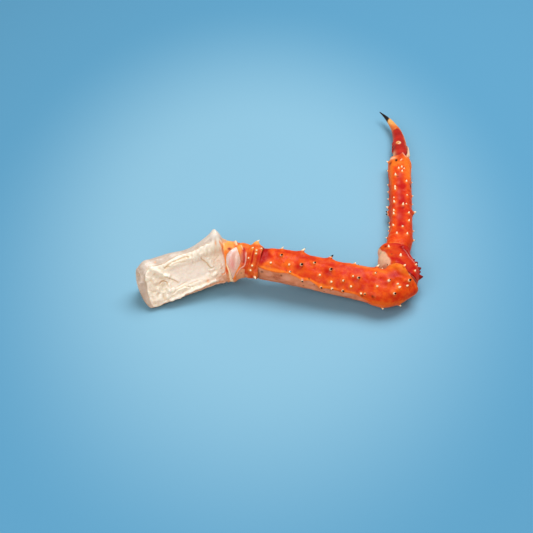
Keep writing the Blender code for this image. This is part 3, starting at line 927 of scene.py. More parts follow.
# The edge of the layers that overlap at the neck, and the orange line round the neck's end.
NECK_PLATE = (
    (59.9, 0.6), (58.0, -0.6), (56.6, -2.4), (56.2, -4.6), (55.3, -6.0), (54.8, -8.2), (53.6, -9.8),
    (52.8, -12.6),
)
NECK_BORDER = (
    (68.6, -14.6), (70.6, -12.6), (71.6, -9.4), (72.6, -4.8), (72.6, 0.3), (72.0, 5.4), (69.6, 8.7),
    (65.3, 9.0),
)


def shoulder_skin():
    """The bare meat. Its front is drawn from the middle of the broad face: w is below 0 towards the top. A
    bumpy ridge runs along the top of the front, with a smooth film behind it, and a white fold along the
    bottom. Between them the face is a shallow tray, with lobes at the bare end and layers at the neck."""
    skin = Skin(shoulder, dome(5.0, 34), dome(1.0, 6), rows=210, columns=380, drawn_from=150, ragged=0.45)
    s, w, base = skin.s, skin.w, skin.points
    rs, rw = skin.s_ragged, skin.w_ragged
    skin.height += MEAT_FOLD * smooth(FOLD_RISE, skin.t) * bump(skin.angle, 74, 16)

    # The film: smooth over the top strip, the bare end, the back and below.
    from_ridge = rw - smooth(FILM_RIDGE, rs)
    from_end = rs - smooth([(at_w, at_s) for at_s, at_w in END_EDGE], rw)
    film = highest(ease(0.4, -0.6, from_ridge), ease(17.0, 18.4, rw), ease(0.4, -0.6, from_end))
    skin.height += 0.45 * (1 - bump(skin.angle, 270, 45)) * lumps(base, 14.0, 5, 2)
    skin.height += 0.16 * film * grooves(s, w, 14.0, 2.6, 45)

    # Broken fibres over the front, quieter in the tray.
    tray = ease(17, 27, s) * ease(60, 52, s) * ease(-13.5, -8, w) * ease(9.5, 4, w)
    busy = (1 - film) * (1 - 0.85 * tray)
    skin.height -= 1.2 * tray
    warp = 1.6 * np.stack([lumps(base, 7.0, 61 + k, 2) for k in range(3)], -1)
    for pitch, seed, height in ((5.2, 15, 0.72), (2.4, 25, 0.16)):
        skin.height += height * busy * (0.42 - np.abs(noise(base + warp, pitch, seed)))
    skin.height += 0.08 * (1 - film) * (1 - 0.6 * tray) * grooves(s, w, 7.0, 1.4, 35)

    crease_shade = np.zeros(s.shape)

    def cut(path, width, depth, dark):
        """Cuts a line into the meat and paints shade into it."""
        nonlocal crease_shade
        crease_shade = np.maximum(crease_shade, dark * skin.ridge(path, width, -depth, 0.25))

    def layer(path, height, reach, dark, taper=0.2):
        """Lays a layer on the left of a path and paints shade into the groove at its edge."""
        nonlocal crease_shade
        crease_shade = np.maximum(crease_shade, dark * skin.flake(path, height, reach, taper))

    # The ridge, which stands over the film behind it, and the edge of the bare end.
    skin.flake(FILM_RIDGE, 1.5, 3.2, 0.06)
    skin.flake(END_EDGE[::-1], 1.0, 3.0, 0.1)
    skin.lump(2.6, -21.5, 4.2, 3.4, 1.0)
    skin.lump(-2.2, -15.0, 1.8, 2.0, -1.8)
    skin.lump(-3.0, -7.5, 2.6, 2.4, 1.3)
    # The long ridge down from the top of the bare end, and the layer that ends it.
    skin.ridge(((7.5, -17), (11, -14.8), (14, -11.8), (17.5, -8.4), (20.4, -6), (23, -3.4)), 1.9, 1.5, 0.1)
    skin.ridge(((9.5, -12), (12.5, -8.2), (16, -4.8), (19.5, -2)), 2.0, -0.8)
    layer(((28.6, 3.6), (24.8, -1.2), (21.4, -4.4), (17.5, -7)), 0.8, 2.6, 0.9, 0.1)
    # The creases that follow the ridge, and the pit under them.
    follow = ((44.4, -14.2), (40.8, -15.7), (34.7, -16.0), (29, -15.8), (24, -14.8), (20, -13.2))
    layer(follow, 0.55, 1.3, 1.0, 0.1)
    layer(((41, -12.8), (37, -13.6), (30, -13.7), (25, -12.9)), 0.3, 1.2, 0.55)
    cut(((19.6, -12.2), (22.5, -12.9), (25.6, -13.2)), 0.9, 1.0, 0.6)
    skin.cushions(CUSHIONS)
    # The arch-shaped recess.
    arch = ((11.0, 0.8), (11.8, -1.2), (13.6, -2.4), (16.0, -2.4), (17.8, -1.0), (18.4, 1.2), (17.8, 4.9))
    cut(arch, 0.65, 1.0, 1.0)
    skin.lump(14.4, 2.6, 2.6, 4.2, -1.2)
    skin.ridge(((19.4, 0.6), (19.6, 4.4), (18.2, 7.6)), 0.9, 1.0)
    skin.ridge(((13.2, 7), (12.4, 11), (12.6, 15)), 1.2, -0.8)
    # The neck.
    layer(NECK_PLATE, 1.2, 7.5, 0.9, 0.1)
    cut(((68.0, -13.2), (68.5, -11.6), (68.8, -9.6), (68.9, -7.6)), 0.35, 0.25, 0.7)
    cut(((66.2, 3.0), (67.6, 3.6), (69.0, 3.4)), 0.4, 0.4, 0.9)
    skin.lump(66.6, 0.6, 0.9, 1.5, 0.5)
    rim = skin.ridge(NECK_BORDER, 0.65, -0.4, 0.04)
    # The knobby cream ridge from the fold's knob down to the border.
    skin.ridge(((66.4, -24), (67.0, -19.4), (67.6, -16.4), (69.2, -13.4), (70.4, -11.2)), 1.3, 0.9, 0.1)
    skin.lump(66.6, -20.4, 1.6, 1.8, 0.8)
    skin.lump(69.6, -21.5, 1.5, 2.2, 2.6)
    skin.lump(65.8, -14.6, 0.8, 0.8, -0.7)
    # Folds along the lower edge, and the brown rind under them.
    low = ((14.6, 14.6), (21.3, 15.2), (28.2, 14.4), (35.4, 13.5), (42.3, 13.0), (53.3, 12.4), (59.6, 12.2))
    fold = skin.ridge(low, 1.15, 1.6, 0.05)
    drape = ((19, 11.8), (23, 9.8), (27, 8.4), (30.5, 8.2), (34, 9.6), (38, 11), (44, 10.6))
    layer(drape, 0.9, 1.8, 0.5)
    cut(((24, 6.4), (30, 5.4), (36, 5.2)), 0.6, 0.45, 0.35)
    cut(((34, 7.4), (40, 7.6), (46, 7.0)), 0.6, 0.4, 0.25)
    rind_line = ((8, 17.6), (14, 17.2), (21, 17.2), (34.9, 15.6), (48.6, 14.8), (60, 14.8), (70, 15.6))
    rind = skin.ridge(rind_line, 0.95, -0.35, 0.08)
    flap = film * ease(44, 52, s) * ease(67.4, 65.8, s - 0.3 * (w + 16)) * (w < 0)
    skin.height += 0.16 * flap * grooves(s, w, 9.0, 0.9, 55)

    neck_tan = ease(58, 62, rs) * ease(9.0, 11.0, rw) * ease(21, 17, rw)
    low_tan = ease(48, 56, s) * ease(6, 9, rw) * (1 - film)
    dot_places = ((66.1, -14.3, 0.7), (51.7, 10.0, 1.3), (14.8, -20.6, 0.7))
    dots = sum(oval(s, w, at_s, at_w, size, size) for at_s, at_w, size in dot_places)
    corner = ease(68.4, 69.6, rs - 0.35 * np.maximum(-10 - rw, 0)) * ease(-11, -13, rw) * ease(-19, -17, rw)
    crown = (1 - film) * ease(0.4, -3.0, from_ridge - 2.6) * ease(8, 14, s)
    skin.mark("film", film)
    skin.mark("rosy", 0.9 * tray)
    skin.mark("tan", 0.85 * neck_tan + 0.3 * low_tan)
    skin.mark("rind", 0.85 * rind)
    skin.mark("orange", rim + 0.8 * dots + 0.7 * corner)
    skin.mark("white", fold + 0.6 * crown)
    skin.mark("crease_shade", crease_shade)
    skin.shape(1.1, 1.5)
    return skin


MEAT_MARKS = ("film", "rosy", "tan", "rind", "orange", "white", "crease_shade", "crest", "hollow")
make_piece(shoulder_skin(), MEAT_MARKS, "shoulder_meat_fine", meat_material(), "shoulder_meat", "meat")


# ---- Basis, with its window of skin ----

# The shell's light and deep colour, its amber and crimson, and the belly's light and deep colour.
ORANGE_SHELL = shell_material(
    "orange_shell",
    ((240, 118, 24), (224, 62, 12), (246, 168, 84), (186, 18, 10), (228, 160, 116), (198, 116, 76)),
)
RED_SHELL = shell_material(
    "red_shell",
    ((228, 78, 12), (216, 42, 10), (242, 130, 34), (182, 16, 6), (216, 144, 108), (184, 102, 72)),
)
KNEE_SKIN = skin_material("knee_membrane", paint(184, 66, 40), paint(150, 44, 28), paint(110, 30, 20))
JOINT_SKIN = skin_material("joint_skin", paint(244, 214, 200), paint(226, 160, 144), paint(176, 60, 40))
WINDOW_SKIN = skin_material("window_skin", paint(230, 192, 174), paint(228, 174, 154), paint(230, 150, 142))

BASIS_DRAWN_FROM = 148  # degrees
WINDOW_DEPTH = 2.8  # of the recess that holds the window's skin
WINDOW_TUCK = 0.45  # how far the skin lies below the collar's surface, and reaches under its rim
WINDOW_MIDDLE = (7.8, -0.6)  # s, w
basis = after(
    shoulder,
    BASIS_LENGTH,
    BASIS_RADIUS,
    ((0, 1.0), (0.25, 0.97), (0.6, 0.87), (1, 0.78)),
    ((150, 0.9), (270, 0.9), (20, 0.92)),
)
basis.first_lip = 0.8
basis.swells = ((0.75, 100, 0.18, 38, 1.3), (0.95, 70, 0.3, 40, 1.2), (0.45, 222, 0.2, 22, 2.0))
WINDOW = (
    (9.6, -15.2), (7.0, -12.8), (4.4, -10.6), (2.4, -8.2), (1.3, -4.6), (1.2, -0.4), (2.4, 2.8),
    (3.9, 6.6), (5.0, 10.6), (6.2, 15.4), (8.0, 12.2), (9.4, 8.8), (11.4, 5.2), (13.3, 1.6),
    (14.0, -2.6), (12.9, -6.6), (11.2, -10.4), (10.4, -13.2),
)


def basis_skin():
    """The orange collar: a cream rim and ridge frame the window, and a crimson groove with a pink ridge,
    whose pink is partly painted highlight, runs down beside its neck and turns back under the window's
    lower right side."""
    caps = dome(0.6, 5), socket(0.09, 2.2)
    skin = Skin(basis, *caps, rows=80, columns=360, drawn_from=BASIS_DRAWN_FROM, ragged=0.3)
    shell_form(skin, 0.3, 70)
    s, w = skin.s_ragged, skin.w_ragged
    away = nearest(skin.s, skin.w, WINDOW + WINDOW[:1])[0]
    signed = np.where(inside(skin.s, skin.w, WINDOW), away, -away)
    hole = step(signed - 0.3, 0.18)
    left_edge = smooth(((-1, 1.3), (2.8, 2.4), (6.6, 3.9), (10.6, 5.0), (15.4, 6.2), (20, 7.0)), w)
    from_window = s - left_edge
    wide = smooth(((-2, 0.6), (3, 1.2), (7, 1.9), (12, 2.8), (18, 4.0)), w)
    cream_rim = ease(0.9, -0.3, from_window) * ease(0.6, -0.6, -from_window - wide)
    cream_rim *= ease(-3.0, 1.5, w) * ease(20, 18, w)
    skin.height += 0.5 * cream_rim
    tan_corner = ease(0.8, -0.4, from_window) * ease(5.0, 11.0, w) * ease(20, 18, w)
    top_ridge = skin.ridge(((8.1, -26), (8.6, -20), (9.6, -15.4)), 1.0, 1.3)
    side_ridge = skin.ridge(((12.8, -16.6), (14.3, -13.8), (15.5, -12.0)), 0.6, 0.5)
    groove = skin.ridge(((15.1, -15.2), (16.5, -10.4), (17.4, -6.8), (17.9, -3.4), (17.4, 0.4)), 0.9, -0.8)
    pink_path = ((17.2, -11.4), (18.1, -7.6), (18.7, -3.6), (18.3, 0.6))
    pink_path += ((16.6, 2.8), (14.4, 4.2), (12, 7.6), (9.2, 12.4))
    pink_ridge = skin.ridge(pink_path, 0.55, 0.55)
    spur = skin.ridge(((16.4, -1.0), (14.2, 2.6), (12.0, 6.0), (10.4, 8.8)), 1.2, 0.4)
    skin.ridge(((11.4, -22), (12.6, -15), (14.3, -8), (15.4, -1)), 1.5, 0.4)
    skin.ridge(((11.4, -26), (11.6, -20)), 1.2, -0.7)
    skin.lump(4.4, -17, 3.0, 5.0, -0.5)
    skin.height *= 1 - hole
    skin.height -= WINDOW_DEPTH * hole

    lower = ease(3.8, 5.0, w) * ease(9, 11, s) * (1 - spur)
    below = ease(14, 17, w) + ease(-30, -33, w)
    belly = np.clip(highest(lower, below, 0.9 * tan_corner), 0, 1)
    skin.mark("belly", belly)
    patch = ease(8.4, 6.4, s) * ease(-10.5, -12.5, w)
    column = 0.5 * oval(s - 0.15 * (w + 14), w, 12.4, -13, 1.7, 7)
    scattered = ease(0.4, 0.9, noise(skin.points, 6.0, 91) + 0.4)
    skin.mark("amber", (0.85 * patch + column) * (1 - belly) + 0.3 * scattered)
    inner = skin.oval(15.2, -5.5, 1.8, 5.5)
    # Pink along the ridge is partly painted highlight on it.
    skin.mark("pink_and_sheen", 0.9 * pink_ridge + 0.3 * inner)
    dot = np.exp(-(((skin.s - 4.4) ** 2 + (skin.w + 12.9) ** 2) / 2.0))
    low_dot = np.exp(-(((skin.s - 15.4) ** 2 + (skin.w - 8.6) ** 2) / 0.6))
    skin.mark("soot", 0.5 * low_dot + 0.5 * dot)
    speckled = skin.oval(1.2, -10.0, 1.2, 1.6) * ease(0.0, 0.5, noise(skin.points, 0.9, 92))
    redder = 0.3 * ease(13, 16, s) * (1 - belly) + 0.45 * inner
    redder += 0.7 * skin.oval(11.2, -20.5, 1.0, 3.0) + 0.6 * speckled
    skin.mark("crimson", 0.7 * groove + 1.1 * dot + redder)
    lip = ease(1.0, 0.2, s) * (0.4 + 0.6 * ease(-14, -18, w))
    cream = highest(1.3 * cream_rim, 0.9 * top_ridge, 0.6 * side_ridge, 0.34 * tan_corner, 0.5 * lip)
    skin.mark("horn", 0.38 * np.clip(cream, 0, 1))
    skin.shape(0.8, 1.4)
    return skin


def window_reach(turn):
    """Distance from the window's middle to its outline in each direction: where the ray in that direction
    crosses a side of the outline, averaged over the neighbouring directions."""
    outline = np.array(WINDOW) - WINDOW_MIDDLE
    reach = np.full(turn.shape, 1.0)
    for first, last in zip(outline, np.roll(outline, -1, 0)):
        side = last - first
        across = np.cos(turn) * side[1] - np.sin(turn) * side[0]
        across = np.where(np.abs(across) < 1e-9, 1e-9, across)
        distance = (first[0] * side[1] - first[1] * side[0]) / across
        share = (first[0] * np.sin(turn) - first[1] * np.cos(turn)) / across
        reach = np.where((share >= 0) & (share <= 1) & (distance > 0), distance, reach)
    for _ in range(3):
        reach = (np.roll(reach, 1) + 2 * reach + np.roll(reach, -1)) / 4
    return reach


def drawn_angle(row, w):
    """The angle round the collar at which a row of its grid has an arc length of w."""
    angle = np.zeros(w.shape)
    start = math.radians(BASIS_DRAWN_FROM) - np.pi
    turned = (np.arange(BASIS_MESH.columns) * 2 * np.pi / BASIS_MESH.columns - start) % (2 * np.pi)
    for number in np.unique(row):
        order = np.argsort(BASIS_MESH.w[number])
        here = row == number
        angle[here] = np.interp(w[here], BASIS_MESH.w[number][order], turned[order]) + start
    return angle


def window_grid():
    """The skin in the window: a thin lens that fills the window's outline and lies just under the collar's
    surface. It bulges by one minus the fourth power of the share of the outline's reach."""
    rings, columns = 30, 200
    out = np.linspace(0.04, 1, rings)
    share = np.concatenate([out, out[::-1]])[:, None]
    turn = np.arange(columns) * 2 * np.pi / columns
    reach = window_reach(turn)[None, :] + WINDOW_TUCK
    s = WINDOW_MIDDLE[0] + share * reach * np.cos(turn)
    w = WINDOW_MIDDLE[1] + share * reach * np.sin(turn)
    t = np.clip(s / basis.length, 0.0, 1.0)
    row = np.round(t * (BASIS_MESH.rows - 1)).astype(int) + BASIS_MESH.first_row
    angle = drawn_angle(np.clip(row, 0, len(BASIS_MESH.w) - 1), w)
    folds = 0.3 * np.sin(s * 1.3 + 0.08 * w) * (1 - share**2)
    outside = np.arange(2 * rings)[:, None] < rings
    depth = np.where(outside, WINDOW_TUCK - 0.25 * (1 - share**4) - folds, 3.0 - 1.4 * share**4)
    radius = basis.reach(t, angle)
    return basis.point(t, angle, (radius - depth) / radius), s, w


BASIS_MESH = basis_skin()
make_piece(BASIS_MESH, SHELL_MARKS, "basis_shell_fine", ORANGE_SHELL, "basis_shell", "orange_shell")

window, window_s, window_w = window_grid()
rose = oval(window_s - 0.2 * window_w, window_w, 6.2, 0.5, 2.6, 5.5)
streak = nearest(window_s, window_w, ((8.4, -11.5), (5.2, -8.2), (3.0, -4.6), (2.0, -0.8)))[0]
pale = 0.6 * hill(streak, 0, 1.1) + 0.35 * ease(6, 12, window_w)
piece = Piece(("edge", "pale"))
piece.add(window[None, ::-1], {"edge": 0.85 * rose[None, ::-1], "pale": pale[None, ::-1]})
piece.finish("basis_skin_fine", WINDOW_SKIN, "basis_skin")


# ---- Ischium ----

ischium = after(
    basis,
    ISCHIUM_LENGTH,
    ISCHIUM_RADIUS,
    ((0, 0.95), (0.4, 1.0), (1, 0.94)),
    ((140, 0.95), (250, 0.93), (20, 0.95)),
)
ischium.lip = 0.7
ischium.swells = ((0.5, 66, 0.5, 34, 1.9), (0.8, 228, 0.4, 26, -1.7))
# Spines: s, degrees, height in mm, how black the tip is.
ISCHIUM_SPINES = (
    (5.2, 62, 2.2, 0.0), (3.2, 90, 1.5, 0.0), (6.4, 95, 1.3, 0.0), (6.6, 106, 1.5, 0.0),
    (9.8, 82, 1.5, 0.4), (1.6, 123, 1.1, 0.0), (5.5, 148, 1.7, 0.0), (4.7, 165, 1.7, 0.0),
    (9.2, 182, 3.4, 0.0), (6.0, 30, 1.8, 0.0), (4.0, 5, 2.2, 0.0), (7.0, 335, 1.6, 0.0),
)


def ischium_skin():
    """The short ring between collar and long segment, with two shallow grooves round its front."""
    skin = Skin(ischium, dome(0.8, 5), socket(0.08, 2.4), rows=44, columns=280, drawn_from=180, ragged=0.3)
    shell_form(skin, 0.25, 90)
    s, w = skin.s_ragged, skin.w_ragged
    skin.ridge(((2.9, -24), (3.4, -16), (3.0, -8), (3.2, -2)), 0.6, 0.4)
    groove = skin.ridge(((4.3, -26), (4.7, -16), (4.2, -6)), 0.6, -0.45)
    skin.ridge(((8.4, -24), (8.8, -14), (8.9, -4)), 0.7, -0.35)
    spike = skin.ball(skin.points[skin.spot(4.6, 60)], 2.8)
    skin.height += 1.7 * spike
    knob = swell_under(skin, ISCHIUM_SPINES)
    corner = np.exp(-(((s - 0.4) / 2.6) ** 4 + ((w - 5.6) / 4.8) ** 4))
    below = np.maximum(ease(6, 11, w) * ease(33, 28, w), 0.85 * corner)
    skin.mark("belly", below)
    golden = 0.3 * knob + 0.5 * spike + 0.4 * ease(-24, -30, w) + 0.3 * ease(9.6, 10.4, s)
    skin.mark("amber", np.clip(golden, 0, 1) * (1 - below))
    # Deeper red on the upper side towards the merus is painted shade at the joint.
    red = 0.24 + 0.5 * groove + 0.35 * ease(6.5, 9.5, s) * ease(-8, -14, w)
    red += 0.5 * skin.oval(1.8, 0.8, 1.5, 1.8) + 0.3 * ease(-22, -17, w) * ease(4, -2, w)
    skin.mark("crimson", np.clip(red, 0, 1) * (1 - 0.7 * knob) * (1 - spike))
    skin.shape(0.6, 1.4)
    return skin


ischium_names = "ischium_shell_fine", ORANGE_SHELL, "ischium_shell", "orange_shell"
make_piece(ischium_skin(), SHELL_MARKS, *ischium_names, ISCHIUM_SPINES)


# ---- Merus ----

merus = after(
    ischium,
    MERUS_LENGTH,
    MERUS_RADIUS,
    ((0, 0.82), (0.08, 0.86), (0.3, 0.94), (0.6, 0.97), (0.85, 1.0), (1, 1.05)),
    ((112, 0.9), (222, 0.8), (350, 0.88)),
)
merus.turn = ((0, -18), (0.2, -8), (0.35, 4), (1, 8))
merus.lip = 0.8
merus.swells = ((0.86, 190, 0.08, 48, 3.2), (0.98, 80, 0.02, 22, 1.2), (0.16, 48, 0.17, 30, 1.4))
MERUS_SPINES = (
    (15, 52, 2.4, 0.0), (32.5, 50, 4.4, 0.3), (57, 53, 4.2, 1.0), (78, 56, 1.7, 0.0),
    (97, 55, 3.3, 0.0), (122, 94, 2.0, 0.0), (16.3, 86, 3.0, 1.0), (9.2, 125, 2.0, 0.0),
    (25, 119, 2.4, 0.0), (35, 113, 3.9, 1.0), (45, 93, 2.8, 0.9), (60, 107, 3.9, 1.0),
    (52, 132, 1.8, 0.0), (62.5, 147, 2.2, 0.0), (27, 143, 2.2, 0.6), (38.3, 160, 2.3, 1.0),
    (55, 169, 2.6, 1.0), (64, 166, 2.6, 0.6), (73.5, 166, 2.9, 1.0), (79.4, 114, 1.4, 0.0),
    (84, 117, 3.2, 1.0), (72, 136, 1.9, 0.6), (79.4, 148, 2.0, 0.0), (88.5, 163, 1.8, 0.0),
    (92, 162, 1.8, 1.0), (96.9, 88, 1.8, 0.5), (100.5, 132, 1.7, 0.0), (107, 112, 3.3, 0.5),
    (112, 128, 1.9, 0.0), (116.6, 144, 1.9, 0.0), (112, 140, 2.4, 0.0), (108.6, 152, 3.0, 0.9),
    (119.5, 134, 3.4, 1.0),
    # The hidden back carries the same kind of rows.
    (24, 14, 3.6, 0.8), (47, 11, 3.8, 1.0), (69, 15, 3.2, 0.3), (92, 12, 3.0, 1.0), (12, 30, 2.0, 0.0),
    (36, 28, 2.0, 0.4), (57, 33, 1.8, 0.0), (80, 30, 2.2, 1.0), (104, 34, 2.0, 0.0),
    (18, 350, 1.8, 0.0), (33, 343, 2.6, 1.0), (53, 338, 2.8, 0.5), (75, 344, 2.4, 1.0),
    (97, 340, 2.0, 0.0), (28, 316, 1.8, 0.0), (48, 312, 2.0, 0.8), (66, 318, 1.6, 0.0),
    (86, 314, 1.8, 0.4), (104, 195, 2.4, 0.6), (112, 196, 2.4, 0.4),
)
# The angle in degrees at which the belly's front edge lies, and where the amber band above it starts.
BELLY_FRONT = (
    (0, 148), (6, 154), (15.6, 153.5), (22, 150), (28, 151), (34.6, 156), (38.8, 161.5), (43.9, 158),
    (49.8, 165), (55.2, 173), (62, 170), (74, 171.5), (83, 171), (90, 176), (98, 182), (123, 190),
)
BAND_TOP = (
    (0, 141), (6, 140), (14, 140), (21, 142), (27, 143), (34, 148), (38, 152), (43, 150), (50, 157),
    (56, 158), (62, 158), (75, 162), (123, 182),
)
# Scorched specks: s, w, size.
SCORCHED = (
    (20.5, -5, 0.9), (14, 0, 0.7), (40, 0.5, 0.8), (49, -3.5, 0.6), (44, -8, 0.7), (24, -10, 0.6),
    (3.5, -3, 1.2), (58, 3, 0.7), (33, 5, 0.7), (90, -3.2, 0.9), (63, -0.6, 0.6), (99, -5.8, 1.3),
)


def merus_skin():
    """The long spiny segment, darkened at its neck by painted shade where it meets the ischium. An amber
    ridge parts its red face from the flat pale belly below, and a shallow valley runs along its upper side."""
    skin = Skin(merus, dome(1.6, 6), socket(0.075, 5.0), rows=292, columns=250, drawn_from=180, ragged=0.5)
    shell_form(skin, 0.55, 110)
    s, w, base = skin.s_ragged, skin.w_ragged, skin.points
    degrees = np.degrees(skin.angle)
    wander = 2.5 * lumps(base, 9.0, 131, 2)
    front = smooth(BELLY_FRONT, s)
    back = smooth(((0, 330), (40, 318), (123, 305)), s)
    belly = ease(-1.5, 1.5, degrees + wander - front) * ease(-2, 2, back + wander - degrees)
    belly *= 1 - 0.85 * ease(80, 100, s) * ease(250, 215, degrees)
    low_line = hill(degrees, 231, 3.5) * ease(80, 60, s)
    belly *= 1 - 0.5 * low_line
    skin.height += 0.7 * hill(degrees - front, -3, 5.0) * ease(95, 75, s)
    skin.height -= 0.35 * hill(degrees - front, 14, 9.0) * ease(95, 75, s)
    valley = skin.ridge(((8, -29), (22, -29), (45, -27), (71, -24.5), (92, -25)), 3.2, -0.7)
    skin.ridge(((3, -24), (9, -16), (17, -13), (26, -14)), 2.4, -0.5)
    skin.ridge(((20, -17), (30, -18), (42, -20)), 2.4, 0.35)
    skin.ridge(((66, -14), (80, -12), (96, -15)), 3.0, 0.45)
    skin.ridge(((100, -24), (108, -20), (113, -14)), 1.6, -0.6)
    hook = skin.lump(119, -33, 5, 9, 0.9)
    point = skin.oval(122, -24.5, 4.5, 6.5)
    skin.height += 3.0 * point * ease(merus.length + 0.3, merus.length - 0.9, skin.s)
    skin.ridge(((112, -22), (116, -19), (117.5, -14)), 1.3, 0.5)
    # The neck sinks a little and is painted darker: painted shade where it meets the ischium.
    neck_end = smooth(((0, 4), (60, 7), (95, 10.5), (125, 7), (142, 4), (180, 3), (360, 4)), degrees)
    neck = ease(1.0, 0.25, s / neck_end) * (0.45 + 0.55 * ease(142, 112, degrees))
    skin.height -= 0.5 * neck
    draw = np.random.default_rng(141)
    for _ in range(26):
        place = draw.uniform(8, 118), draw.uniform(-44, 44)
        skin.lump(*place, draw.uniform(1.6, 4), draw.uniform(1.6, 3), -draw.uniform(0.15, 0.4))
    knob = swell_under(skin, MERUS_SPINES)

    ridge_gold = ease(-3, 4, degrees + wander - smooth(BAND_TOP, s)) * (0.85 - 0.4 * ease(45, 80, s))
    face_gold = 0.45 * hill(front - degrees, 26, 15.0) * ease(55, 20, s)
    rim_gold = 0.5 * ease(merus.length - 2.0, merus.length - 0.5, skin.s)
    top_gold = 0.6 * hill(w, -31, 3.5) * ease(60, 90, s)
    amber = highest(ridge_gold, face_gold, rim_gold, top_gold, low_line, 0.6 * knob, 0.7 * hook, 0.7 * point)
    skin.mark("belly", belly)
    skin.mark("amber", np.clip(amber, 0, 1) * (1 - belly))
    # Deep red at the neck is painted shade.
    red = 1.2 * neck + 0.3 * valley + 0.6 * skin.oval(113, -24, 9, 3.0) * (1 - point)
    red += 0.4 * (1 - ridge_gold) * (1 - knob) * ease(-0.1, 0.7, lumps(base, 11.0, 151, 2))
    skin.mark("crimson", np.clip(red, 0, 1) * (1 - 0.8 * belly))
    skin.mark("pink_and_sheen", 0.35 * belly * ease(-0.2, 0.6, lumps(base, 9.0, 152, 2)))
    soot = highest(*(skin.oval(at_s, at_w, size, size) for at_s, at_w, size in SCORCHED))
    # Soot at the neck is painted shade.
    skin.mark("soot", 0.8 * soot + 0.16 * neck * (1 - belly))
    skin.shape(0.6, 2.0)
    return skin


merus_names = "merus_shell_fine", RED_SHELL, "merus_shell", "red_shell"
make_piece(merus_skin(), SHELL_MARKS, *merus_names, MERUS_SPINES)


# ---- Joint skins ----


def joint_skin(tube, start_dome, end_dome, wrinkle=0.25):
    """Skin between two shells: a short tube with a dome at each end and wrinkles round it, which are a sine
    of the distance along it, moved by noise. Its edge mark paints shade into the wrinkles' lower places."""
    skin = Skin(tube, dome(start_dome, 12), dome(end_dome, 6), rows=14, columns=160, drawn_from=180)
    skin.height += wrinkle * np.sin(skin.s * 3.4 + 1.2 * lumps(skin.points, 6.0, 171, 2))
    skin.height += 0.3 * wrinkle * lumps(skin.points, 3.0, 181, 2)
    skin.shape(0.3, 0.8)
    # Painted shade in the wrinkles' lower places.
    skin.mark("edge", 0.8 * skin.marks["hollow"])
    return skin


knee = after(
    merus,
    KNEE_SKIN_LENGTH,
    MERUS_RADIUS,
    ((0, 0.89), (0.5, 0.92), (1, 0.89)),
    ((112, 0.92), (222, 0.86), (350, 0.92)),
)
make_piece(joint_skin(knee, 4.0, 0.8), ("edge",), "knee_skin_fine", KNEE_SKIN, "knee_skin", "skin")


# ---- Carpus ----

carpus = after(
    knee,
    CARPUS_LENGTH,
    CARPUS_RADIUS,
    ((0, 0.93), (0.25, 1.0), (0.6, 0.95), (0.9, 0.84), (1, 0.83)),
    ((100, 0.9), (215, 0.9), (330, 0.9)),
)
carpus.sway = ((0, 1.0), (0.3, 3.2), (0.6, 4.2), (1, 3.4))
carpus.lip = 0.6
carpus.swells = ((0.4, 185, 0.4, 34, -0.9),)
CARPUS_SPINES = (
    (15.1, 96, 2.8, 0.0), (29.9, 68, 2.2, 0.0), (8.6, 140, 1.6, 0.0), (2.9, 135, 1.6, 0.0),
    (1.8, 45, 1.4, 0.8), (12, 214, 2.6, 0.5), (25, 218, 2.6, 0.0), (31, 205, 1.8, 0.5),
)
CARPUS_TEETH = (
    (17.5, 170, 4.4, 0.0), (11.0, 172, 4.0, 0.0), (5.8, 174, 4.0, 0.0), (14.4, 168, 1.8, 0.0),
    (8.4, 168, 1.8, 0.0), (25.5, 178, 3.6, 0.0),
)


